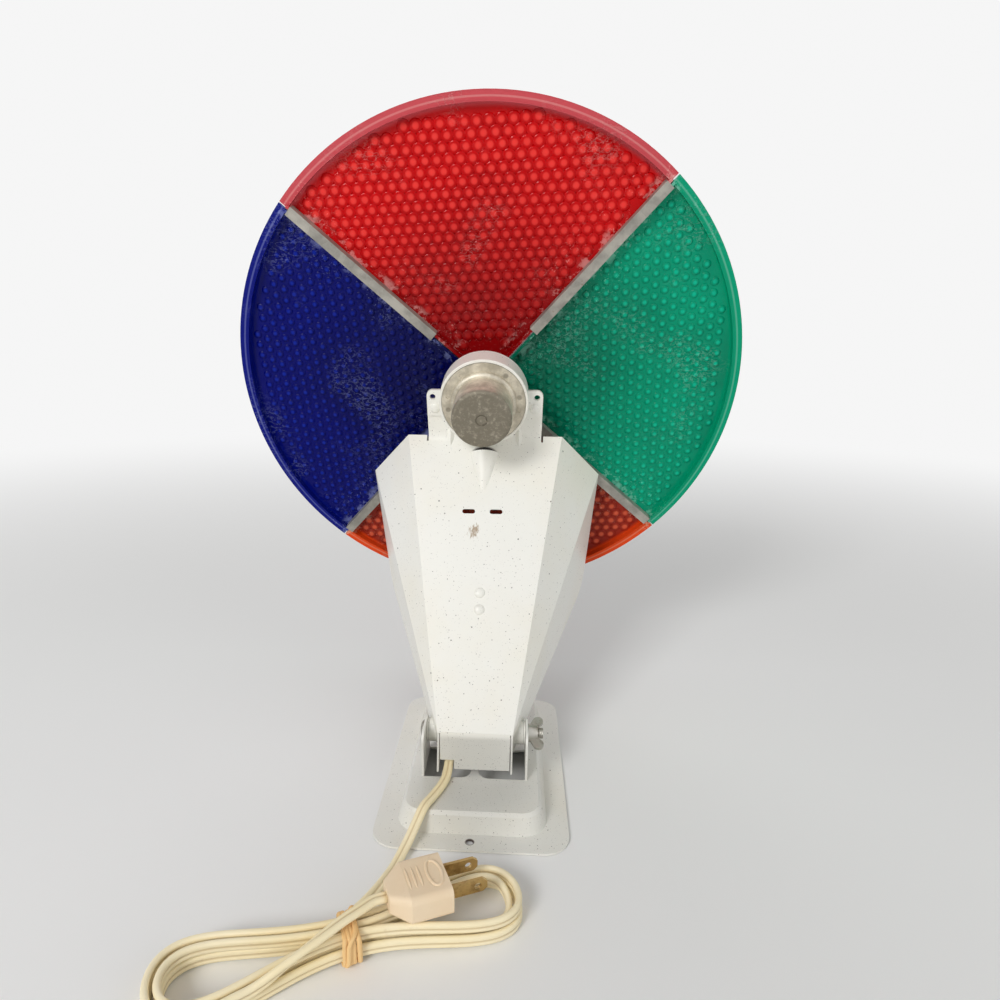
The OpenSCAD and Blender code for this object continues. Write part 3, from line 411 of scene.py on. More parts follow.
@dataclass(frozen=True)
class Lens:
    """Translucent moulded plastic: painted shade near the hub and painted glow towards the rim, a brighter
    rim with a painted highlight line, painted highlights on the bead crowns, crinkles with painted glints,
    and dust along the joints.
    """

    slot: Slot
    field_colour: Colour
    rim_colour: Colour
    bead_highlight_colour: Colour
    dust_and_highlight_colour: Colour
    bead: float = 3.7 * MM
    # painted shade: the dark colour that the field fades towards near the hub
    deep: Colour = srgb(4, 4, 6)
    clear: float = 0.16
    back_skin: Span = (0.0004, 0.0012)
    hub_shade: Span = (0.03, 0.13)
    rim: Span = (0.1442, 0.1474)
    # radius and blur of the painted highlight line round the rim's step
    edge_line: float = 0.1496
    edge_blur: Span = (0.0002, 0.0007)
    dust_reach: Span = (0.004, 0.03)
    paste_reach: Span = (0.0042, 0.0085)
    joint_turn: float = math.radians(41.6)

    def material(self, relief: Relief) -> Material:
        """Build the finish of the sheet or of its beads.

        Args:
            relief: Which of the two.

        Returns:
            The finished material.
        """
        s = Shader(f"{self.slot.value}_{relief.value}")
        where = s.coords(WHEEL)
        x, y, forward = s.axes(where)
        behind = forward.fade(*self.back_skin)
        radius = x.away(y)
        outward = radius.smooth(*self.hub_shade)
        cloud = s.noise(where, 17, 4, 0.6)
        # Painted shade and glow: the field darkens towards the hub and brightens towards the rim as if lit
        # through from behind, with a random cloudy tone.
        bright = (0.45 + 0.55 * outward) * (1 - 0.3 * cloud.smooth(0.35, 0.75))
        shade = s.mix(bright, self.deep, self.field_colour)
        if relief is Relief.BEAD:
            # Painted highlight: a brighter dot on the crown of each bead, stronger towards the rim.
            crown = s.node("ShaderNodeAttribute", {"attribute_name": CROWN}, out="Fac").smooth(0.74, 1.0)
            shade = s.mix(crown * (0.2 + 0.8 * outward), shade, self.bead_highlight_colour)
        shade = s.mix(radius.smooth(*self.rim), shade, self.rim_colour)
        # Painted highlight: a thin pale line round the rim's step.
        edge = abs(radius - self.edge_line).fade(*self.edge_blur)
        c, n = math.cos(self.joint_turn), math.sin(self.joint_turn)
        joint = abs(x * c + y * n).least(abs(y * c - x * n))
        patch = s.noise(where, 19, 2).smooth(0.5, 0.68)
        # The crinkles are a real bump; their ridges are also painted pale as glints.
        ridge = 1 - abs(s.noise(s.stretch(where, (1.0, 1.7, 1.0)), 170, 3, 0.6) - 0.5) * 2
        crinkle_and_glint = ridge.smooth(0.91, 0.99) * patch * behind
        fine = s.noise(where, 520, 4, 0.75).smooth(0.56, 0.7)
        settled = s.noise(where, 34, 3).smooth(0.38, 0.6) * joint.fade(*self.dust_reach)
        paste = joint.fade(*self.paste_reach) * s.noise(where, 95, 4, 0.7).smooth(0.5, 0.6)
        dust = (fine * (0.01 + 0.9 * settled)).most(paste) * (0.12 + 0.88 * behind)
        # One pale colour paints the dust, the painted glints on the crinkles and the painted highlight line.
        shade = s.mix(dust * 0.5 + crinkle_and_glint * 0.2 + edge * 0.3, shade, self.dust_and_highlight_colour)
        return s.surface(
            Base_Color=shade, Roughness=0.14 + 0.1 * cloud + 0.4 * dust, IOR=1.49,
            Transmission_Weight=self.clear, Specular_IOR_Level=0.06, Coat_Weight=0.35 * (1 - behind),
            Coat_Roughness=0.08,
            Normal=s.bump(crinkle_and_glint + 0.6 * s.noise(where, 150, 3), 0.0004, 0.6))


@dataclass(frozen=True)
class Galvanised:
    """Zinc-dipped strip with spangle, a dull bloom and rusty spots."""

    name: str = "galvanised_strip"
    light: Colour = srgb(182, 178, 168)
    dark: Colour = srgb(140, 137, 130)
    rust: Colour = srgb(122, 94, 64)

    def material(self) -> Material:
        """Build the finish.

        Returns:
            The finished material.
        """
        s = Shader(self.name)
        where = s.coords()
        crystal = s.node("ShaderNodeSeparateColor", {}, {0: s.cells(where, 230).of("Color")})
        bloom = s.noise(where, 70, 5, 0.65)
        grey = s.mix((crystal * 0.1 + bloom).smooth(0.36, 0.76), self.dark, self.light)
        spots = s.noise(where, 190, 5, 0.7).smooth(0.64, 0.74)
        return s.surface(
            Base_Color=s.mix(spots * 0.7, grey, self.rust), Metallic=0.5 - 0.3 * spots,
            Roughness=0.45 + 0.2 * bloom + 0.2 * spots,
            Normal=s.bump(crystal * 0.15 + bloom, 0.0001, 0.4))


@dataclass(frozen=True)
class AgedZinc:
    """Tarnished zinc sheet of the motor: a bright ring with dark dimples and a browner, scuffed end."""

    name: str = "aged_zinc"
    light: Colour = srgb(230, 222, 204)
    dark: Colour = srgb(176, 168, 150)
    tarnish: Colour = srgb(124, 117, 102)
    end_blend: Span = (0.0628, 0.0644)
    dimple_ring: float = 0.0208
    dimple_r: float = 0.0017
    dimples: tuple[float, ...] = (127.0, 169.0, 307.0, 349.0)

    def material(self) -> Material:
        """Build the finish.

        Returns:
            The finished material.
        """
        s = Shader(self.name)
        where = s.coords(WHEEL)
        x, y, forward = s.axes(where)
        mottle = s.noise(where, 150, 7, 0.68)
        patch = s.noise(where, 48, 3)
        grey = s.mix((mottle * 0.75 + patch * 0.4).smooth(0.42, 0.78), self.dark, self.light)
        end = (-1 * forward).smooth(*self.end_blend)
        scuffs = s.noise(where, 400, 8, 0.75).smooth(0.48, 0.72)
        grey = s.mix(end * (0.95 - 0.6 * scuffs), grey, self.tarnish)
        pits = s.specks(where, 620, 0.3, 0.22)
        for angle in self.dimples:
            a = math.radians(angle)
            off = (x - self.dimple_ring * math.cos(a)).away(y - self.dimple_ring * math.sin(a))
            pits = pits.most(off.fade(0.6 * self.dimple_r, 1.1 * self.dimple_r))
        grey = s.mix(pits * 0.6, grey, self.tarnish)
        scratch = s.noise(s.stretch(where, (1.0, 14.0, 3.0)), 90, 3, 0.6).smooth(0.6, 0.7)
        return s.surface(
            Base_Color=grey, Metallic=0.5, Roughness=0.36 + 0.24 * mottle + 0.12 * end - 0.08 * scratch,
            Normal=s.bump(mottle + 0.5 * (1 - pits) + 0.2 * scratch, 0.00012, 0.6))


@dataclass(frozen=True)
class Metal:
    """A worn bright metal with fine lines, stains and pits."""

    name: str
    bright: Colour
    dull: Colour
    rough: float = 0.26
    lines: float = 700.0
    thread: float = 0.0

    def material(self) -> Material:
        """Build the finish.

        Returns:
            The finished material.
        """
        s = Shader(self.name)
        where = s.coords()
        stain = s.noise(where, 120, 5, 0.65)
        grain = s.noise(s.stretch(where, (1.0, 0.06, 1.0)), self.lines, 2)
        pits = s.specks(where, 800, 0.2, 0.2)
        height = grain * 0.25 + (1 - pits) * 0.4
        if self.thread:
            x, _, _ = s.axes(where)
            height = height + 3 * (x / self.thread).wave()
        return s.surface(
            Base_Color=s.mix(stain.smooth(0.42, 0.72), self.bright, self.dull), Metallic=0.95,
            Roughness=self.rough + 0.2 * stain + 0.08 * grain, Normal=s.bump(height, 0.00008, 0.7))


@dataclass(frozen=True)
class Moulded:
    """A moulded or drawn plastic: soft gloss, slight yellowing, handling marks, painted shade in a twin
    cord's groove.
    """

    name: str
    fresh: Colour
    aged: Colour
    grime: Colour
    rough: float = 0.42
    grain: float = 500.0
    groove_shade: float = 0.0

    def material(self) -> Material:
        """Build the finish.

        Returns:
            The finished material.
        """
        s = Shader(self.name)
        where = s.coords()
        age = s.noise(where, 24, 4).smooth(0.35, 0.75)
        soil = s.noise(where, 140, 6, 0.7).smooth(0.62, 0.8)
        colour = s.mix(age * 0.7, self.fresh, self.aged)
        # Painted shade: the groove between a twin cord's cores is darkened towards the grime colour.
        if self.groove_shade:
            _, round_it, _ = s.axes(s.node("ShaderNodeTexCoord", out="UV"))
            colour = s.mix(self.groove_shade * (2 * round_it).wave().smooth(0.76, 0.98), colour, self.grime)
        return s.surface(
            Base_Color=s.mix(soil * 0.35, colour, self.grime),
            Roughness=self.rough + 0.14 * age + 0.2 * soil, Specular_IOR_Level=0.45,
            Normal=s.bump(s.noise(where, self.grain, 3), 0.00006, 0.5))


@dataclass(frozen=True)
class LampGlass:
    """Reflector lamp: silvered from the neck to the widest ring, frosted over its face."""

    name: str = "reflector_lamp"
    silver: Colour = srgb(205, 205, 205)
    frost: Colour = srgb(236, 234, 226)
    face_blend: Span = (0.0929, 0.0941)

    def material(self) -> Material:
        """Build the finish.

        Returns:
            The finished material.
        """
        s = Shader(self.name)
        where = s.coords(LAMP)
        _, _, along = s.axes(where)
        face = along.smooth(*self.face_blend)
        haze = s.noise(where, 90, 4)
        return s.surface(
            Base_Color=s.mix(face, self.silver, self.frost), Metallic=0.9 * (1 - face),
            Roughness=0.14 + 0.1 * haze + 0.3 * face, Specular_IOR_Level=0.5,
            Normal=s.bump(s.noise(where, 900, 2), 0.00003, 0.4))


@dataclass(frozen=True)
class Winding:
    """Enamelled wire wound round the coil former."""

    name: str = "coil_winding"
    wire: Colour = srgb(156, 84, 44)
    shadow: Colour = srgb(72, 34, 18)
    pitch: float = 0.0005

    def material(self) -> Material:
        """Build the finish.

        Returns:
            The finished material.
        """
        s = Shader(self.name)
        where = s.coords(WHEEL)
        _, _, forward = s.axes(where)
        turn = forward / self.pitch + 1.5 * s.noise(where, 60, 2)
        lay = turn.wave()
        return s.surface(Base_Color=s.mix(lay.smooth(0.1, 0.7), self.shadow, self.wire), Metallic=0.5,
                         Roughness=0.3 + 0.2 * s.noise(where, 200, 3),
                         Normal=s.bump(lay, 0.0001, 0.8))


STEEL = Metal("plated_steel", srgb(190, 188, 180), srgb(132, 126, 112))
BRASS = Metal("plain_brass", srgb(201, 172, 116), srgb(143, 112, 68), 0.3)
MAGNET = Metal("rotor_magnet", srgb(74, 74, 78), srgb(48, 48, 50), 0.5)
BOLT = Metal("pivot_steel", srgb(184, 182, 174), srgb(122, 116, 104), thread=0.001)
IVORY = Moulded("ivory_vinyl", srgb(253, 240, 204), srgb(247, 228, 178), srgb(190, 160, 112), groove_shade=0.55)
PLUG_IVORY = Moulded("ivory_plug", srgb(244, 222, 190), srgb(236, 206, 166), srgb(160, 126, 92), 0.5)
RUBBER = Moulded("tan_rubber", srgb(246, 208, 148), srgb(236, 190, 128), srgb(206, 160, 104), 0.62, 1400)
BLACK_LEAD = Moulded("black_lead", srgb(30, 30, 32), srgb(44, 42, 40), srgb(96, 90, 80), 0.5)
PHENOLIC = Moulded("brown_phenolic", srgb(62, 38, 26), srgb(44, 26, 18), srgb(96, 80, 64), 0.3)


# Meshes


FINE_STEPS = 8
TINY = 1e-9


def link(name: str, data: bpy.types.ID) -> Object:
    """Make an object and put it in the scene.

    Args:
        name: Name of the object.
        data: Its mesh, camera or light.

    Returns:
        The object, at the origin.
    """
    made = bpy.data.objects.new(name, data)
    bpy.context.scene.collection.objects.link(made)
    return made


@dataclass
class MeshPiece:
    """A mesh in the making: points, faces and one UV pair for each face corner."""

    name: str
    points: list[Vector] = field(default_factory=list)
    faces: list[tuple[int, ...]] = field(default_factory=list)
    uvs: list[tuple[float, float]] = field(default_factory=list)

    def sweep(self, stations: Sequence[Sequence[Vector]], closed: bool = False, metres: float = 1.0) -> None:
        """Skin rings of points into a tube.

        Args:
            stations: Rings of as many points each, turning left round the way along.
            closed: Join the last ring to the first instead of capping both.
            metres: Length that the tube's UV map covers.
        """
        first, ring, count = len(self.points), len(stations[0]), len(stations)
        for station in stations:
            self.points.extend(station)
        steps = count if closed else count - 1
        for i in range(steps):
            low, high = first + i * ring, first + (i + 1) % count * ring
            for k in range(ring):
                n = (k + 1) % ring
                u, v = [j / steps * metres for j in (i, i + 1)], [j / ring for j in (k, k + 1)]
                self.add_face((low + k, high + k, high + n, low + n),
                              [(u[0], v[0]), (u[1], v[0]), (u[1], v[1]), (u[0], v[1])])
        if not closed:
            last = first + (count - 1) * ring
            self.add_face(tuple(range(first, first + ring)), [(0.0, 0.0)] * ring)
            self.add_face(tuple(range(last + ring - 1, last - 1, -1)), [(metres, 0.0)] * ring)

    def add_face(self, corners: tuple[int, ...], uv: list[tuple[float, float]]) -> None:
        """Add one face with its UV corners."""
        self.faces.append(corners)
        self.uvs.extend(uv)

    def build(self, material: Material) -> Object:
        """Make the object.

        Args:
            material: Its finish.

        Returns:
            The linked object, at the origin.
        """
        mesh = bpy.data.meshes.new(self.name)
        mesh.from_pydata([tuple(p) for p in self.points], [], self.faces)
        layer = mesh.uv_layers.new(name="run")
        for loop, uv in zip(layer.data, self.uvs):
            loop.uv = uv
        mesh.polygons.foreach_set("use_smooth", [True] * len(mesh.polygons))
        mesh.materials.append(material)
        mesh.validate()
        shape = bmesh.new()
        shape.from_mesh(mesh)
        bmesh.ops.recalc_face_normals(shape, faces=shape.faces)
        shape.to_mesh(mesh)
        shape.free()
        return link(self.name, mesh)


def smooth_route(points: Sequence[Vector], spacing: float) -> list[Vector]:
    """Lay an even row of points on a smooth curve through the given ones.

    Args:
        points: Points of the route.
        spacing: Distance between the new points.

    Returns:
        The new points, ends included.
    """
    fine: list[Vector] = []
    for i in range(len(points) - 1):
        a, b = points[max(0, i - 1)], points[i]
        c, d = points[i + 1], points[min(len(points) - 1, i + 2)]
        span = (c - b).length
        out = (c - a) * (span / max((c - a).length, TINY))
        back = (d - b) * (span / max((d - b).length, TINY))
        for k in range(FINE_STEPS):
            t = k / FINE_STEPS
            fine.append(b * (2 * t ** 3 - 3 * t ** 2 + 1) + out * (t ** 3 - 2 * t ** 2 + t)
                        + c * (3 * t ** 2 - 2 * t ** 3) + back * (t ** 3 - t ** 2))
    fine.append(points[-1])
    total = route_length(fine)
    count = max(2, round(total / spacing))
    row, run, at = [fine[0]], 0.0, 1
    for i in range(1, count):
        goal = total * i / count
        while run + (fine[at] - fine[at - 1]).length < goal:
            run += (fine[at] - fine[at - 1]).length
            at += 1
        step = (fine[at] - fine[at - 1]).length
        row.append(fine[at - 1].lerp(fine[at], (goal - run) / step))
    return row + [fine[-1]]


def route_length(route: Sequence[Vector]) -> float:
    """Length along a row of points."""
    return sum((b - a).length for a, b in zip(route, route[1:]))


def level_axes(route: Sequence[Vector], i: int) -> tuple[Vector, Vector]:
    """Find the level direction across a route and the one above it.

    Args:
        route: Centreline.
        i: Which of its points.

    Returns:
        The direction to the right and the one upward.
    """
    way = (route[min(len(route) - 1, i + 1)] - route[max(0, i - 1)]).normalized()
    side = way.cross(Vector((0, 0, 1))).normalized()
    return side, side.cross(way)


def level_rings(route: Sequence[Vector], section: Sequence[tuple[float, float]],
                rolls: Sequence[float] | None = None) -> list[list[Vector]]:
    """Set a section along a route with its width kept level, or rolled from it.

    Args:
        route: Centreline.
        section: Points as (across, up), turning left when seen from ahead.
        rolls: Roll at each point of the route.

    Returns:
        One ring of points for each point of the route.
    """
    rings = []
    for i, point in enumerate(route):
        side, up = level_axes(route, i)
        if rolls:
            c, n = math.cos(rolls[i]), math.sin(rolls[i])
            side, up = c * side + n * up, c * up - n * side
        rings.append([point + across * side + high * up for across, high in section])
    return rings


def ease(part: float) -> float:
    """A soft step from zero to one over the span from zero to one."""
    t = min(1.0, max(0.0, part))
    return t * t * (3 - 2 * t)


def signed_power(value: float, power: float) -> float:
    """A power of a number's size, with the number's sign."""
    return math.copysign(abs(value) ** power, value)


def oval(half_wide: float, half_high: float, steps: int = 8) -> list[tuple[float, float]]:
    """Points round an ellipse, turning left."""
    turns = [2 * math.pi * k / steps for k in range(steps)]
    return [(half_wide * math.cos(a), half_high * math.sin(a)) for a in turns]


def twin_section(width: float, thick: float, steps: int = 10) -> list[tuple[float, float]]:
    """Outline of a flat twin cord: two round cores side by side with a groove between.

    Args:
        width: Width over both cores.
        thick: Diameter of one core.
        steps: Spans round each core.

    Returns:
        The outline, turning left.
    """
    r, off = thick / 2, (width - thick) / 2
    reach = math.acos(-off / r)
    turn = [reach * (2 * i / steps - 1) for i in range(steps)]
    right = [(off + r * math.cos(a), r * math.sin(a)) for a in turn]
    return right + [(-x, -y) for x, y in right]


# Camera and studio


@dataclass
class PhotoCamera:
    """The camera at the photograph's viewpoint."""

    stand: Point = (-0.018433, 0.365766, 0.248907)
    pitch: float = math.radians(15.742)
    yaw: float = math.radians(3.226)
    roll: float = math.radians(-0.416)
    lens: float = 24.92
    sensor: float = 36.0
    shift: Span = (0.0247, 0.0317)
    near: float = 0.01

    def build(self) -> None:
        """Make the camera and give it to the scene."""
        level = math.cos(self.pitch)
        ahead = Vector((math.sin(self.yaw) * level, -math.cos(self.yaw) * level, -math.sin(self.pitch)))
        right = Vector((-math.cos(self.yaw), -math.sin(self.yaw), 0))
        down = ahead.cross(right)
        across = math.cos(self.roll) * right + math.sin(self.roll) * down
        below = math.cos(self.roll) * down - math.sin(self.roll) * right
        data = bpy.data.cameras.new("photo_camera")
        data.sensor_fit, data.sensor_width, data.lens = "HORIZONTAL", self.sensor, self.lens
        data.shift_x, data.shift_y = self.shift
        data.clip_start = self.near
        camera = link("photo_camera", data)
        turn = Matrix((across, -below, -ahead)).transposed().to_4x4()
        camera.matrix_world = Matrix.Translation(self.stand) @ turn
        bpy.context.scene.camera = camera


@dataclass
class Studio:
    """Pale floor, soft lamps and an even surround."""

    floor_half: float = 6.0
    floor_drop: float = 0.0004
    floor_fade: Span = (0.35, 1.6)
    floor_colour: Colour = (0.90, 0.90, 0.89, 1.0)
    surround: float = 0.40
    backdrop: float = 0.92
    lamps: tuple[tuple[str, Point, Point, float, float], ...] = (
        ("key", (0.8, 1.55, 1.1), (0, -0.02, 0.14), 0.6, 18.5),
        ("fill", (-1.6, 0.9, 0.9), (0, 0, 0.14), 1.4, 4.5),
        ("front", (0.4, -1.9, 1.3), (0, -0.05, 0.16), 1.6, 9))

    def build(self) -> None:
        """Make the floor, the world and the lamps."""
        self.floor()
        self.world()
        for lamp in self.lamps:
            self.lamp(*lamp)

    def floor(self) -> None:
        """Lay the floor just under the object, fading into the backdrop far from it."""
        half = self.floor_half
        corners = ((-half, -half), (half, -half), (half, half), (-half, half))
        mesh = bpy.data.meshes.new("floor")
        mesh.from_pydata([(x, y, -self.floor_drop) for x, y in corners], [], [(0, 1, 2, 3)])
        s = Shader("floor_paper")
        x, y, _ = s.axes(s.coords())
        far = x.away(y).smooth(*self.floor_fade)
        seen = s.node("ShaderNodeLightPath", out="Is Camera Ray")
        paper = s.node("ShaderNodeBsdfPrincipled", {}, {
            "Base Color": self.floor_colour, "Roughness": 0.75 + 0.1 * s.noise(s.coords(), 40, 3),
            "Specular IOR Level": 0.2})
        glow = s.node("ShaderNodeEmission", {}, {"Color": WHITE, "Strength": self.backdrop})
        mesh.materials.append(s.close(s.node("ShaderNodeMixShader", {}, {0: far * seen, 1: paper, 2: glow})))
        made = link("floor", mesh)

    def world(self) -> None:
        """Light the room evenly and show a pale backdrop to the eye, to gloss and through the lenses."""
        world = bpy.data.worlds.new("studio")
        bpy.context.scene.world = world
        world.use_nodes = True
        g = Graph(world.node_tree)
        path = g.node("ShaderNodeLightPath", out="Is Camera Ray")
        seen = path.most(path.of("Is Glossy Ray")).most(path.of("Is Transmission Ray"))
        room, drop = [g.node("ShaderNodeBackground", {}, {"Color": WHITE, "Strength": strength})
                      for strength in (self.surround, self.backdrop)]
        g.node("ShaderNodeOutputWorld", {}, {
            "Surface": g.node("ShaderNodeMixShader", {}, {0: seen, 1: room, 2: drop})})
        bpy.context.scene.view_settings.view_transform = "Standard"

    def lamp(self, name: str, stand: Point, aim: Point, size: float, watts: float) -> None:
        """Hang one soft square lamp.

        Args:
            name: Name of the lamp.
            stand: Where it hangs.
            aim: The point that it faces.
            size: Side of its square.
            watts: Its power.
        """
        data = bpy.data.lights.new(name, "AREA")
        data.shape, data.size, data.energy = "SQUARE", size, watts
        lamp = link(name, data)
        turn = (Vector(aim) - Vector(stand)).to_track_quat("-Z", "Y")
        lamp.matrix_world = Matrix.Translation(stand) @ turn.to_matrix().to_4x4()


# Pieces of the object


@dataclass
class MainsCord:
    """Flat twin cord: out of the housing, over the base, into a tied hank and on to its plug.

    Sizes with MM are metres and other lengths millimetres. Angles of winding are degrees.
    """

    width: float = 5.4 * MM
    thick: float = 3.0 * MM
    spacing: float = 2.4 * MM
    floor_gap: float = 0.2
    half_len: float = 79.6
    waist: float = 8.2
    waist_sharp: int = 8
    swell: float = 39.4
    swell_loss: float = 1.3
    step: float = 4.2
    layer: float = 6.1
    waist_lift: float = 1.5
    start: float = 105.0
    end: float = 1315.0
    middle: float = 720.0
    wind_step: float = 5.0
    climb: float = 56.0
    twist: float = 62.0 * MM
    untwist: float = 0.8
    route: tuple[Point, ...] = (
        (14.5, 20, 26), (14.5, 21.8, 21.8), (14.6, 23.8, 17.8), (14.9, 26.9, 15.3), (15.2, 31, 14.2),
        (15.7, 36, 13.8), (17.2, 42, 13.7), (19.4, 48, 13.7), (21.8, 54, 13.8), (23.4, 58, 14.2),
        (25, 62, 13.5), (26.8, 66.5, 10.8), (28.8, 71.5, 7.7), (30.8, 76.8, 5), (33, 83, 2.9), (35, 90, 2),
        (37.4, 97.5, 2.2), (40.6, 106, 2.5), (45, 115, 2.7), (51, 123.6, 2.8), (58, 130.6, 3))
    tail: tuple[Point, ...] = (
        (-34, -13.4, 11.2), (-28, -12, 13.6), (-20, -9.6, 16), (-10, -6, 18.2), (-2, -2.6, 19.4),
        (6, 0.6, 19.8), (11.6, 3, 19.8), (17, 3, 19.8))
    line: list[Vector] = field(default_factory=list, init=False)

    def hank_point(self, angle: float) -> Vector:
        """A point of the hank.

        Args:
            angle: Degrees wound since the hank's own start.

        Returns:
            The point in metres, in the object's frame.
        """
        turns = (angle if angle < self.middle else 2 * self.middle - angle) / 360
        inward, a = self.step * turns, math.radians(angle)
        lift = self.waist_lift * math.sin(a) ** self.waist_sharp
        lift += ease((angle - self.middle) / self.climb + 0.5) * self.layer
        height = self.floor_gap + self.width / 2 / MM + lift
        bulge = (self.swell - self.swell_loss * inward) * math.cos(a) ** 2
        return HANK @ (MM * Vector(((self.half_len - inward) * math.cos(a),
                                    (self.waist - inward + bulge) * math.sin(a), height)))

    def centreline(self) -> list[Vector]:
        """The whole route, evenly spaced.

        Returns:
            Points from the housing to the plug.
        """
        wound = self.end - self.start
        count = round(wound / self.wind_step)
        hank = [self.hank_point(self.start + wound * i / count) for i in range(count + 1)]
        lead_in = hank[0] - self.width * (hank[1] - hank[0]).normalized()
        lead_out = hank[-1] + self.width * (hank[-1] - hank[-2]).normalized()
        points = [MM * Vector(p) for p in self.route] + [lead_in] + hank + [lead_out]
        points += [HANK @ (MM * Vector(p)) for p in self.tail]
        return smooth_route(points, self.spacing)

    def rolls(self, line: Sequence[Vector]) -> list[float]:
        """Roll the cord along its line: flat on the base, on edge in the hank, flat again at the plug.

        Args:
            line: Its evenly spaced centreline.

        Returns:
            One angle for each point.
        """
        ends = [self.hank_point(angle) for angle in (self.start, self.end)]
        first, last = [min(range(len(line)), key=lambda i: (line[i] - end).length) for end in ends]
        lead, tail = self.twist / self.spacing, self.untwist * (len(line) - 1 - last)
        return [math.pi / 2 * min(ease(1 + (i - first) / lead), 1 - ease((i - last) / tail))
                for i in range(len(line))]

    def build(self) -> Object:
        """Make the cord.

        Returns:
            The cord, riding on the base.
        """
        line = self.centreline()
        piece = MeshPiece("mains_cord")
        rings = level_rings(line, twin_section(self.width, self.thick), self.rolls(line))
        piece.sweep(rings, metres=route_length(line))
        cord = piece.build(IVORY.material())
        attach(cord, Body.BASE.value)
        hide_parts("cord", "cord_hank", "cord_tail")
        self.line = line
        LOG.info("cord: %.3f m in %d stations", route_length(line), len(line))
        return cord


@dataclass
class Leads:
    """The leads inside the housing: a twisted pair to the motor and the short supply lead.

    Sizes with MM are metres and other lengths millimetres. The offs and ways count in widths of the lead, and
    the tunnel's points in shares of its length and rise.
    """

    wire: float = 1.05 * MM
    lay_length: float = 16 * MM
    spacing: float = 1.5 * MM
    lead: float = 2.2
    start_off: Span = (0.6, 1.15)
    bend_off: Span = (1.0, 0.7)
    case_r: float = 25.8
    case_back: float = 26.0
    mouth_drop: float = 7.4
    tunnel_len: float = 24.0
    tunnel_rise: float = 6.0
    slot_up: float = 127.8
    rivet_up: float = 79.0
    panel_len: float = (PANEL_TOP - PANEL_FOOT).length / MM
    bend_r: float = 9.0
    bend_run: float = bend_r * math.tan((LEAN + PANEL_LEAN) / 2)
    tunnel: tuple[Span, ...] = ((0.05, -0.24), (0.3, 0.02), (0.55, 0.35), (0.85, 0.75))
    slot_way: tuple[Point, ...] = ((2.0, 0.0, 2.7), (5.0, -8.0, 2.7))
    rivet_way: tuple[Point, ...] = ((6.4, 6.0, 2.3), (7.7, -2.3, 2.3), (8.6, -8.6, 3.6))
    supply_wide: float = 4.3 * MM
    supply_thick: float = 2.4 * MM
    supply_inside: tuple[Point, ...] = ((9, 18, 16.5), (12, 13, 14.5), (14, 8, 10.5))
    supply_end: tuple[Point, ...] = ((14.4, 17.5, 31), (14.5, 19, 28.4))

    def on_panel(self, points: Sequence[Point]) -> list[Vector]:
        """Points of the panel's frame in millimetres, brought to the object's frame."""
        return [PANEL.point(x * MM, up * MM, deep * MM) for x, up, deep in points]

    def motor_route(self) -> list[Vector]:
        """The way from the motor through the tunnel to the socket.

        Returns:
            Evenly spaced points.
        """
        d, bend = self.lead, self.panel_len - self.bend_run
        way = [(0, bend - self.bend_off[0] * d, -self.bend_off[1] * d)]
        way += [(0, bend - self.mouth_drop - self.tunnel_len * down, self.tunnel_rise * deep)
                for down, deep in self.tunnel]
        for mark, rows in ((self.slot_up, self.slot_way), (self.rivet_up, self.rivet_way)):
            way += [(x * d, mark + up * d, deep * d) for x, up, deep in rows]
        out, back = self.start_off
        start = WHEEL.point(0, -(self.case_r + out * d) * MM, -(self.case_back + back * d) * MM)
        return smooth_route([start] + self.on_panel(way), self.spacing)

    def build(self) -> None:
        """Make both leads, riding on the head."""
        route = self.motor_route()
        pair = MeshPiece("motor_lead_pair")
        for core in (0, 1):
            path = []
            for i, point in enumerate(route):
                side, up = level_axes(route, i)
                a = math.pi * core + 2 * math.pi * i * self.spacing / self.lay_length
                path.append(point + self.wire / 2 * (math.cos(a) * side + math.sin(a) * up))
            pair.sweep(level_rings(path, oval(self.wire / 2, self.wire / 2)), metres=route_length(path))
        supply = self.on_panel(self.supply_inside) + [MM * Vector(p) for p in self.supply_end]
        short = MeshPiece("supply_lead_pair")
        line = smooth_route(supply, self.spacing)
        section = twin_section(self.supply_wide, self.supply_thick)
        short.sweep(level_rings(line, section), metres=route_length(line))
        made = [pair.build(BLACK_LEAD.material()), short.build(IVORY.material())]
        for piece, node, slot in zip(made, ("motor_leads", "supply_lead"), (Slot.LEAD, Slot.CORD)):
            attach(piece, Body.HEAD.value)
            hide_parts(node)
            LOG.info("lead: %s", piece.name)


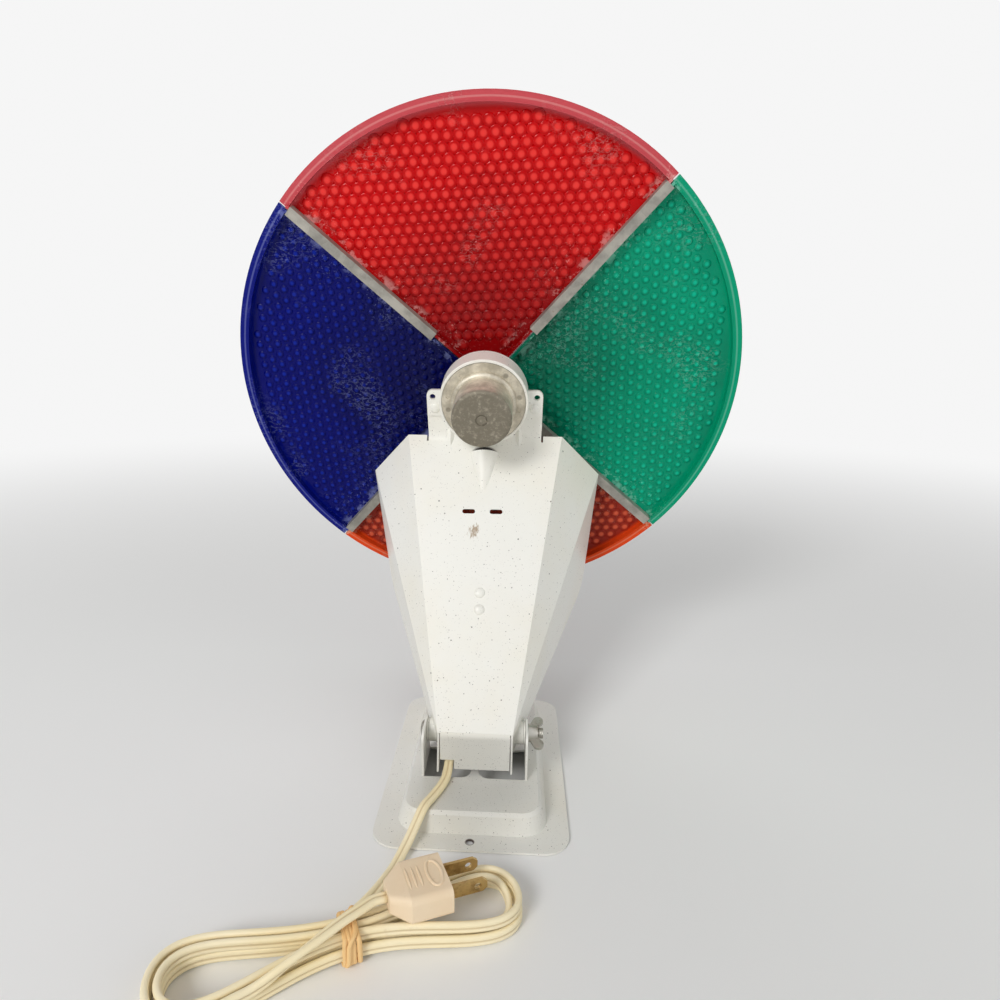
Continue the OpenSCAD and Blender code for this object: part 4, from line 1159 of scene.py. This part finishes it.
@dataclass
class RubberBand:
    """The tan band: five turns pulled tight round the waist of the hank.

    Lengths are millimetres, apart from uv_length, which is in metres.
    """

    half_width: float = 8.35
    half_height: float = 6.65
    middle: float = 7.5
    strip: float = 2.1
    thick: float = 1.2
    square: float = 0.28
    steps: int = 64
    uv_length: float = 0.08
    turns: tuple[tuple[float, float, float, float], ...] = (
        (-2.9, 0.4, 0.2, 0.0), (-1.0, -0.5, 1.4, 0.05), (0.9, 0.5, 2.6, 0.0), (2.7, -0.4, 0.9, 0.1),
        (0.2, 2.6, 0.7, 0.9))

    def strand(self, piece: MeshPiece, at: float, slant: float, phase: float, lift: float) -> None:
        """Wind one closed turn.

        Args:
            piece: The mesh that takes it.
            at: Place along the hank, in millimetres.
            slant: How far it wanders to either side.
            phase: Where it wanders.
            lift: How far it rides on the turns below.
        """
        rings, section = [], oval(self.strip / 2, self.thick / 2)
        for i in range(self.steps):
            a = 2 * math.pi * i / self.steps
            c, s = math.cos(a), math.sin(a)
            high = self.half_height + (lift if s > 0 else 0)
            spot = Vector((at + slant * math.sin(a + phase),
                           signed_power(c, self.square) * (self.half_width + lift),
                           signed_power(s, self.square) * high + self.middle))
            out = Vector((0, signed_power(c, 2 - self.square) / self.half_width,
                          signed_power(s, 2 - self.square) / self.half_height)).normalized()
            rings.append([HANK @ (MM * (spot + u * Vector((1, 0, 0)) + v * out)) for u, v in section])
        piece.sweep(rings, closed=True, metres=self.uv_length)

    def build(self) -> None:
        """Make the band, riding on the base."""
        piece = MeshPiece("rubber_band")
        for turn in self.turns:
            self.strand(piece, *turn)
        band = piece.build(RUBBER.material())
        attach(band, Body.BASE.value)
        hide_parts("cord_band")
        LOG.info("band: %d turns", len(self.turns))


class Tree(Graph):
    """A Geometry Nodes tree under construction."""

    def __init__(self, name: str, finish: Material, **sizes: float) -> None:
        """Start a tree with named inputs.

        Args:
            name: Name of the tree and of its piece.
            finish: Finish of the piece.
            sizes: Value of each size.
        """
        super().__init__(bpy.data.node_groups.new(name, "GeometryNodeTree"))
        self.tree.interface.new_socket("Geometry", in_out="OUTPUT", socket_type="NodeSocketGeometry")
        self.name, self.values = name, {**sizes, "Finish": finish}
        for key in self.values:
            kind = "NodeSocketMaterial" if key == "Finish" else "NodeSocketFloat"
            self.tree.interface.new_socket(key, in_out="INPUT", socket_type=kind)
        self.inputs = self.node("NodeGroupInput")

    def size(self, key: str) -> Field:
        """A named input."""
        return self.inputs.of(key)

    def moved(self, geometry: Field, place: object, turn: object = Euler((0, 0, 0))) -> Field:
        """Geometry shifted and turned."""
        return self.node("GeometryNodeTransform", {}, {0: geometry, "Translation": place, "Rotation": turn})

    def finish(self, geometry: Field) -> Object:
        """Realize the instances, set the finish and turn the result into a plain mesh.

        Args:
            geometry: The last geometry, with its instances.

        Returns:
            The piece, at the origin, with no modifier.
        """
        real = self.node("GeometryNodeRealizeInstances", {}, {0: geometry})
        smooth = self.node("GeometryNodeSetShadeSmooth", {}, {0: real})
        dressed = self.node("GeometryNodeSetMaterial", {}, {0: smooth, "Material": self.size("Finish")})
        self.node("NodeGroupOutput", {}, {0: dressed})
        holder = link(self.name, bpy.data.meshes.new(self.name))
        modifier = holder.modifiers.new(self.name, "NODES")
        modifier.node_group = self.tree
        for item in self.tree.interface.items_tree:
            if item.in_out == "INPUT":
                modifier[item.identifier] = self.values[item.name]
        made = holder.evaluated_get(bpy.context.evaluated_depsgraph_get())
        mesh = bpy.data.meshes.new_from_object(made)
        holder.modifiers.clear()
        holder.data = mesh
        mesh.name = self.name
        return holder


@dataclass
class BeadField:
    """Rows of flat beads moulded on the back of one sector."""

    name: str
    slot: Slot
    lens: Lens
    middle_angle: float
    pitch: float = 6.4 * MM
    inner: float = 24 * MM
    outer: float = 143.2 * MM
    margin: float = 6.6 * MM
    height: float = 0.72 * MM
    columns: int = 37
    rows: int = 28
    segments: int = 12
    rings: int = 8
    vary: Span = (0.96, 1.02)
    seed: int = 7

    def build(self) -> None:
        """Make the beads of this sector, riding on the wheel."""
        t = Tree(self.name, self.lens.material(Relief.BEAD), Pitch=self.pitch, Inner=self.inner,
                 Outer=self.outer, Margin=self.margin, Bead=self.lens.bead, Height=self.height,
                 Turn=math.radians(self.middle_angle - 90))
        row_step = t.size("Pitch") * math.sqrt(0.75)
        grid = t.node("GeometryNodeMeshGrid", {}, {
            "Size X": t.size("Pitch") * (self.columns - 1.0), "Size Y": row_step * (self.rows - 1.0),
            "Vertices X": self.columns, "Vertices Y": self.rows})
        lattice = t.moved(grid, t.vector(y=row_step * (self.rows / 2 - 0.5)))
        _, up, _ = t.axes(t.node("GeometryNodeInputPosition"))
        odd = round(up / row_step) % 2.0
        lattice = t.node("GeometryNodeSetPosition", {}, {
            0: lattice, "Offset": t.vector(x=odd * t.size("Pitch") * 0.5)})
        x, y, _ = t.axes(t.node("GeometryNodeInputPosition"))
        radius = x.away(y)
        inset = (y - abs(x)) * math.sqrt(0.5)
        outside = (inset < t.size("Margin")).most(radius < t.size("Inner")).most(radius > t.size("Outer"))
        kept = t.node("GeometryNodeDeleteGeometry", {"domain": "POINT"}, {0: lattice, "Selection": outside})
        ball = t.node("GeometryNodeMeshUVSphere", {}, {
            "Segments": self.segments, "Rings": self.rings, "Radius": 1.0})
        _, _, crown = t.axes(t.node("GeometryNodeInputPosition"))
        ball = t.node("GeometryNodeStoreNamedAttribute", {"data_type": "FLOAT", "domain": "POINT"}, {
            0: ball, "Name": CROWN, "Value": abs(crown)})
        vary = t.node("FunctionNodeRandomValue", {"data_type": "FLOAT"}, {
            2: self.vary[0], 3: self.vary[1], "Seed": self.seed}, 1)
        wide = t.size("Bead") * vary
        beads = t.node("GeometryNodeInstanceOnPoints", {}, {
            0: kept, "Instance": ball, "Scale": t.vector(wide, wide, t.size("Height"))})
        turned = t.moved(t.node("GeometryNodeRealizeInstances", {}, {0: beads}), (0, 0, 0),
                         t.node("FunctionNodeEulerToRotation", {}, {0: t.vector(z=t.size("Turn"))}))
        made = t.finish(t.moved(turned, WHEEL.origin, Euler((WHEEL.turn_x, 0, 0))))
        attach(made, Body.WHEEL.value)
        LOG.info("beads: %s with %d faces", self.name, len(made.data.polygons))


@dataclass
class PlugGrip:
    """Raised grip bars and a rounded thumb ring on both flats of the plug.

    Lengths are millimetres, apart from uv_length, which is in metres.
    """

    rear: Point = (17.0, 3.0, 19.8)
    half_thick: float = 6.5
    sink: float = 0.05
    bars: int = 3
    bars_at: float = 9.4
    bar_pitch: float = 2.6
    bar_width: float = 1.3
    bar_length: float = 13.0
    bar_segments: int = 12
    bar_rings: int = 6
    rise: float = 0.6
    ring_at: float = 20.6
    ring_fore: float = 3.6
    ring_aft: float = 2.6
    ring_half: float = 7.4
    ring_wire: float = 0.75
    ring_steps: int = 40
    uv_length: float = 0.04

    def build(self) -> list[Object]:
        """Make the bars and the rings.

        Returns:
            The grip pieces, riding on the base.
        """
        finish = PLUG_IVORY.material()
        made = [self.bars_piece(finish), self.ring_piece(finish)]
        for piece in made:
            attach(piece, Body.BASE.value)
            LOG.info("plug grip: %s", piece.name)
        return made

    def bars_piece(self, finish: Material) -> Object:
        """Set the bars in a row on each flat.

        Args:
            finish: Their finish.

        Returns:
            The bars.
        """
        t = Tree("plug_grip_bars", finish, Pitch=self.bar_pitch * MM, Width=self.bar_width * MM,
                 Length=self.bar_length * MM, Rise=self.rise * MM)
        line = t.node("GeometryNodeMeshLine", {"mode": "OFFSET"}, {
            "Count": self.bars, "Offset": t.vector(x=t.size("Pitch"))})
        ball = t.node("GeometryNodeMeshUVSphere", {}, {
            "Segments": self.bar_segments, "Rings": self.bar_rings, "Radius": 0.5})
        row = t.node("GeometryNodeInstanceOnPoints", {}, {
            0: line, "Instance": ball,
            "Scale": t.vector(t.size("Width"), t.size("Length"), t.size("Rise") * 2.0)})
        turn = Euler((0, 0, HANK_TURN))
        flats = [t.moved(row, self.on_flat(self.bars_at, 0, side), turn) for side in (-1, 1)]
        return t.finish(t.node("GeometryNodeJoinGeometry", {}, {0: flats}))

    def on_flat(self, along: float, across: float, side: int) -> Vector:
        """A point on one flat of the plug, in the object's frame."""
        return HANK @ (MM * Vector((self.rear[0] + along, self.rear[1] + across,
                                    self.rear[2] + side * (self.half_thick - self.sink))))

    def ring_piece(self, finish: Material) -> Object:
        """Sweep a thumb ring on each flat.

        Args:
            finish: Its finish.

        Returns:
            The rings.
        """
        piece = MeshPiece("plug_grip_rings")
        mean = (self.ring_fore + self.ring_aft) / 2
        for side in (-1, 1):
            rings = []
            for i in range(self.ring_steps):
                a = 2 * math.pi * i / self.ring_steps
                c, s = math.cos(a), math.sin(a)
                along = self.ring_at + (self.ring_fore if c > 0 else self.ring_aft) * c
                spot = self.on_flat(along, self.ring_half * s, side)
                out = HANK.to_3x3() @ Vector((c / mean, s / self.ring_half, 0)).normalized()
                rings.append([spot + MM * (wide * out + Vector((0, 0, high)))
                              for wide, high in oval(self.ring_wire, self.rise)])
            piece.sweep(rings, closed=True, metres=self.uv_length)
        return piece.build(finish)


@dataclass
class Dressing:
    """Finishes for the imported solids."""

    lenses: dict[str, Lens]
    shared: dict[str, Callable[[], Material]] = field(default_factory=lambda: {
        "base_plate lamp_housing motor_cup motor_rivets bracket_rivets pivot_washers": Enamel().material,
        "pivot_bolt": BOLT.material,
        "wing_nut output_shaft hub_nut hub_disc hub_bush gear_pin socket_bracket": STEEL.material,
        "gear_case motor_cover motor_can": AgedZinc().material,
        "stator_coil": Winding().material,
        "rotor": MAGNET.material,
        "first_gear second_gear third_gear output_gear socket_shell lamp_cap plug_blades": BRASS.material,
        "lamp_socket": PHENOLIC.material,
        "flood_lamp": LampGlass().material,
        "lamp_filament": STEEL.material,
        "sector_clips": Galvanised().material,
        "plug_body": PLUG_IVORY.material})

    def apply(self, nodes: dict[str, Object]) -> None:
        """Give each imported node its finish.

        Args:
            nodes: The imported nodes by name.
        """
        for names, make in self.shared.items():
            finish = make()
            for name in names.split():
                self.paint(nodes[name], finish)
        for name, lens in self.lenses.items():
            self.paint(nodes[name], lens.material(Relief.FIELD))

    def paint(self, node: Object, finish: Material) -> None:
        """Put one finish on every slot of a node.

        Args:
            node: The node.
            finish: Its finish.
        """
        for slot in node.material_slots:
            slot.material = finish
        LOG.info("finish: %s on %s", finish.name, node.name)


SMALL_BEAD = 2.5 * MM
FIRST_MIDDLE = 86.6
SECTOR_ANGLE = 90.0
LENSES = {
    "red_sector": Lens(
        Slot.RED, srgb(214, 6, 12), srgb(212, 84, 92), srgb(255, 66, 60), srgb(248, 190, 184)),
    "green_sector": Lens(
        Slot.GREEN, srgb(0, 166, 126), srgb(2, 166, 124), srgb(6, 196, 156), srgb(160, 224, 204), SMALL_BEAD),
    "amber_sector": Lens(
        Slot.AMBER, srgb(168, 48, 32), srgb(236, 78, 26), srgb(228, 96, 64), srgb(238, 190, 160)),
    "blue_sector": Lens(
        Slot.BLUE, srgb(0, 8, 112), srgb(8, 22, 130), srgb(6, 36, 156), srgb(150, 160, 220), SMALL_BEAD),
}


def main() -> None:
    """Build the scene in order and report each piece."""
    logging.basicConfig(level=logging.INFO, format="%(name)s: %(message)s")
    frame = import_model()
    PhotoCamera().build()
    mains = MainsCord()
    cord = mains.build()
    RubberBand().build()
    grips = PlugGrip().build()
    nodes = frame["nodes"]
    Leads().build()
    for i, (name, lens) in enumerate(LENSES.items()):
        middle = FIRST_MIDDLE + SECTOR_ANGLE * i
        BeadField(name.replace("sector", "beads"), lens.slot, lens, middle).build()
    Dressing(LENSES).apply(nodes)
    Studio().build()


if __name__ == "__main__":
    main()
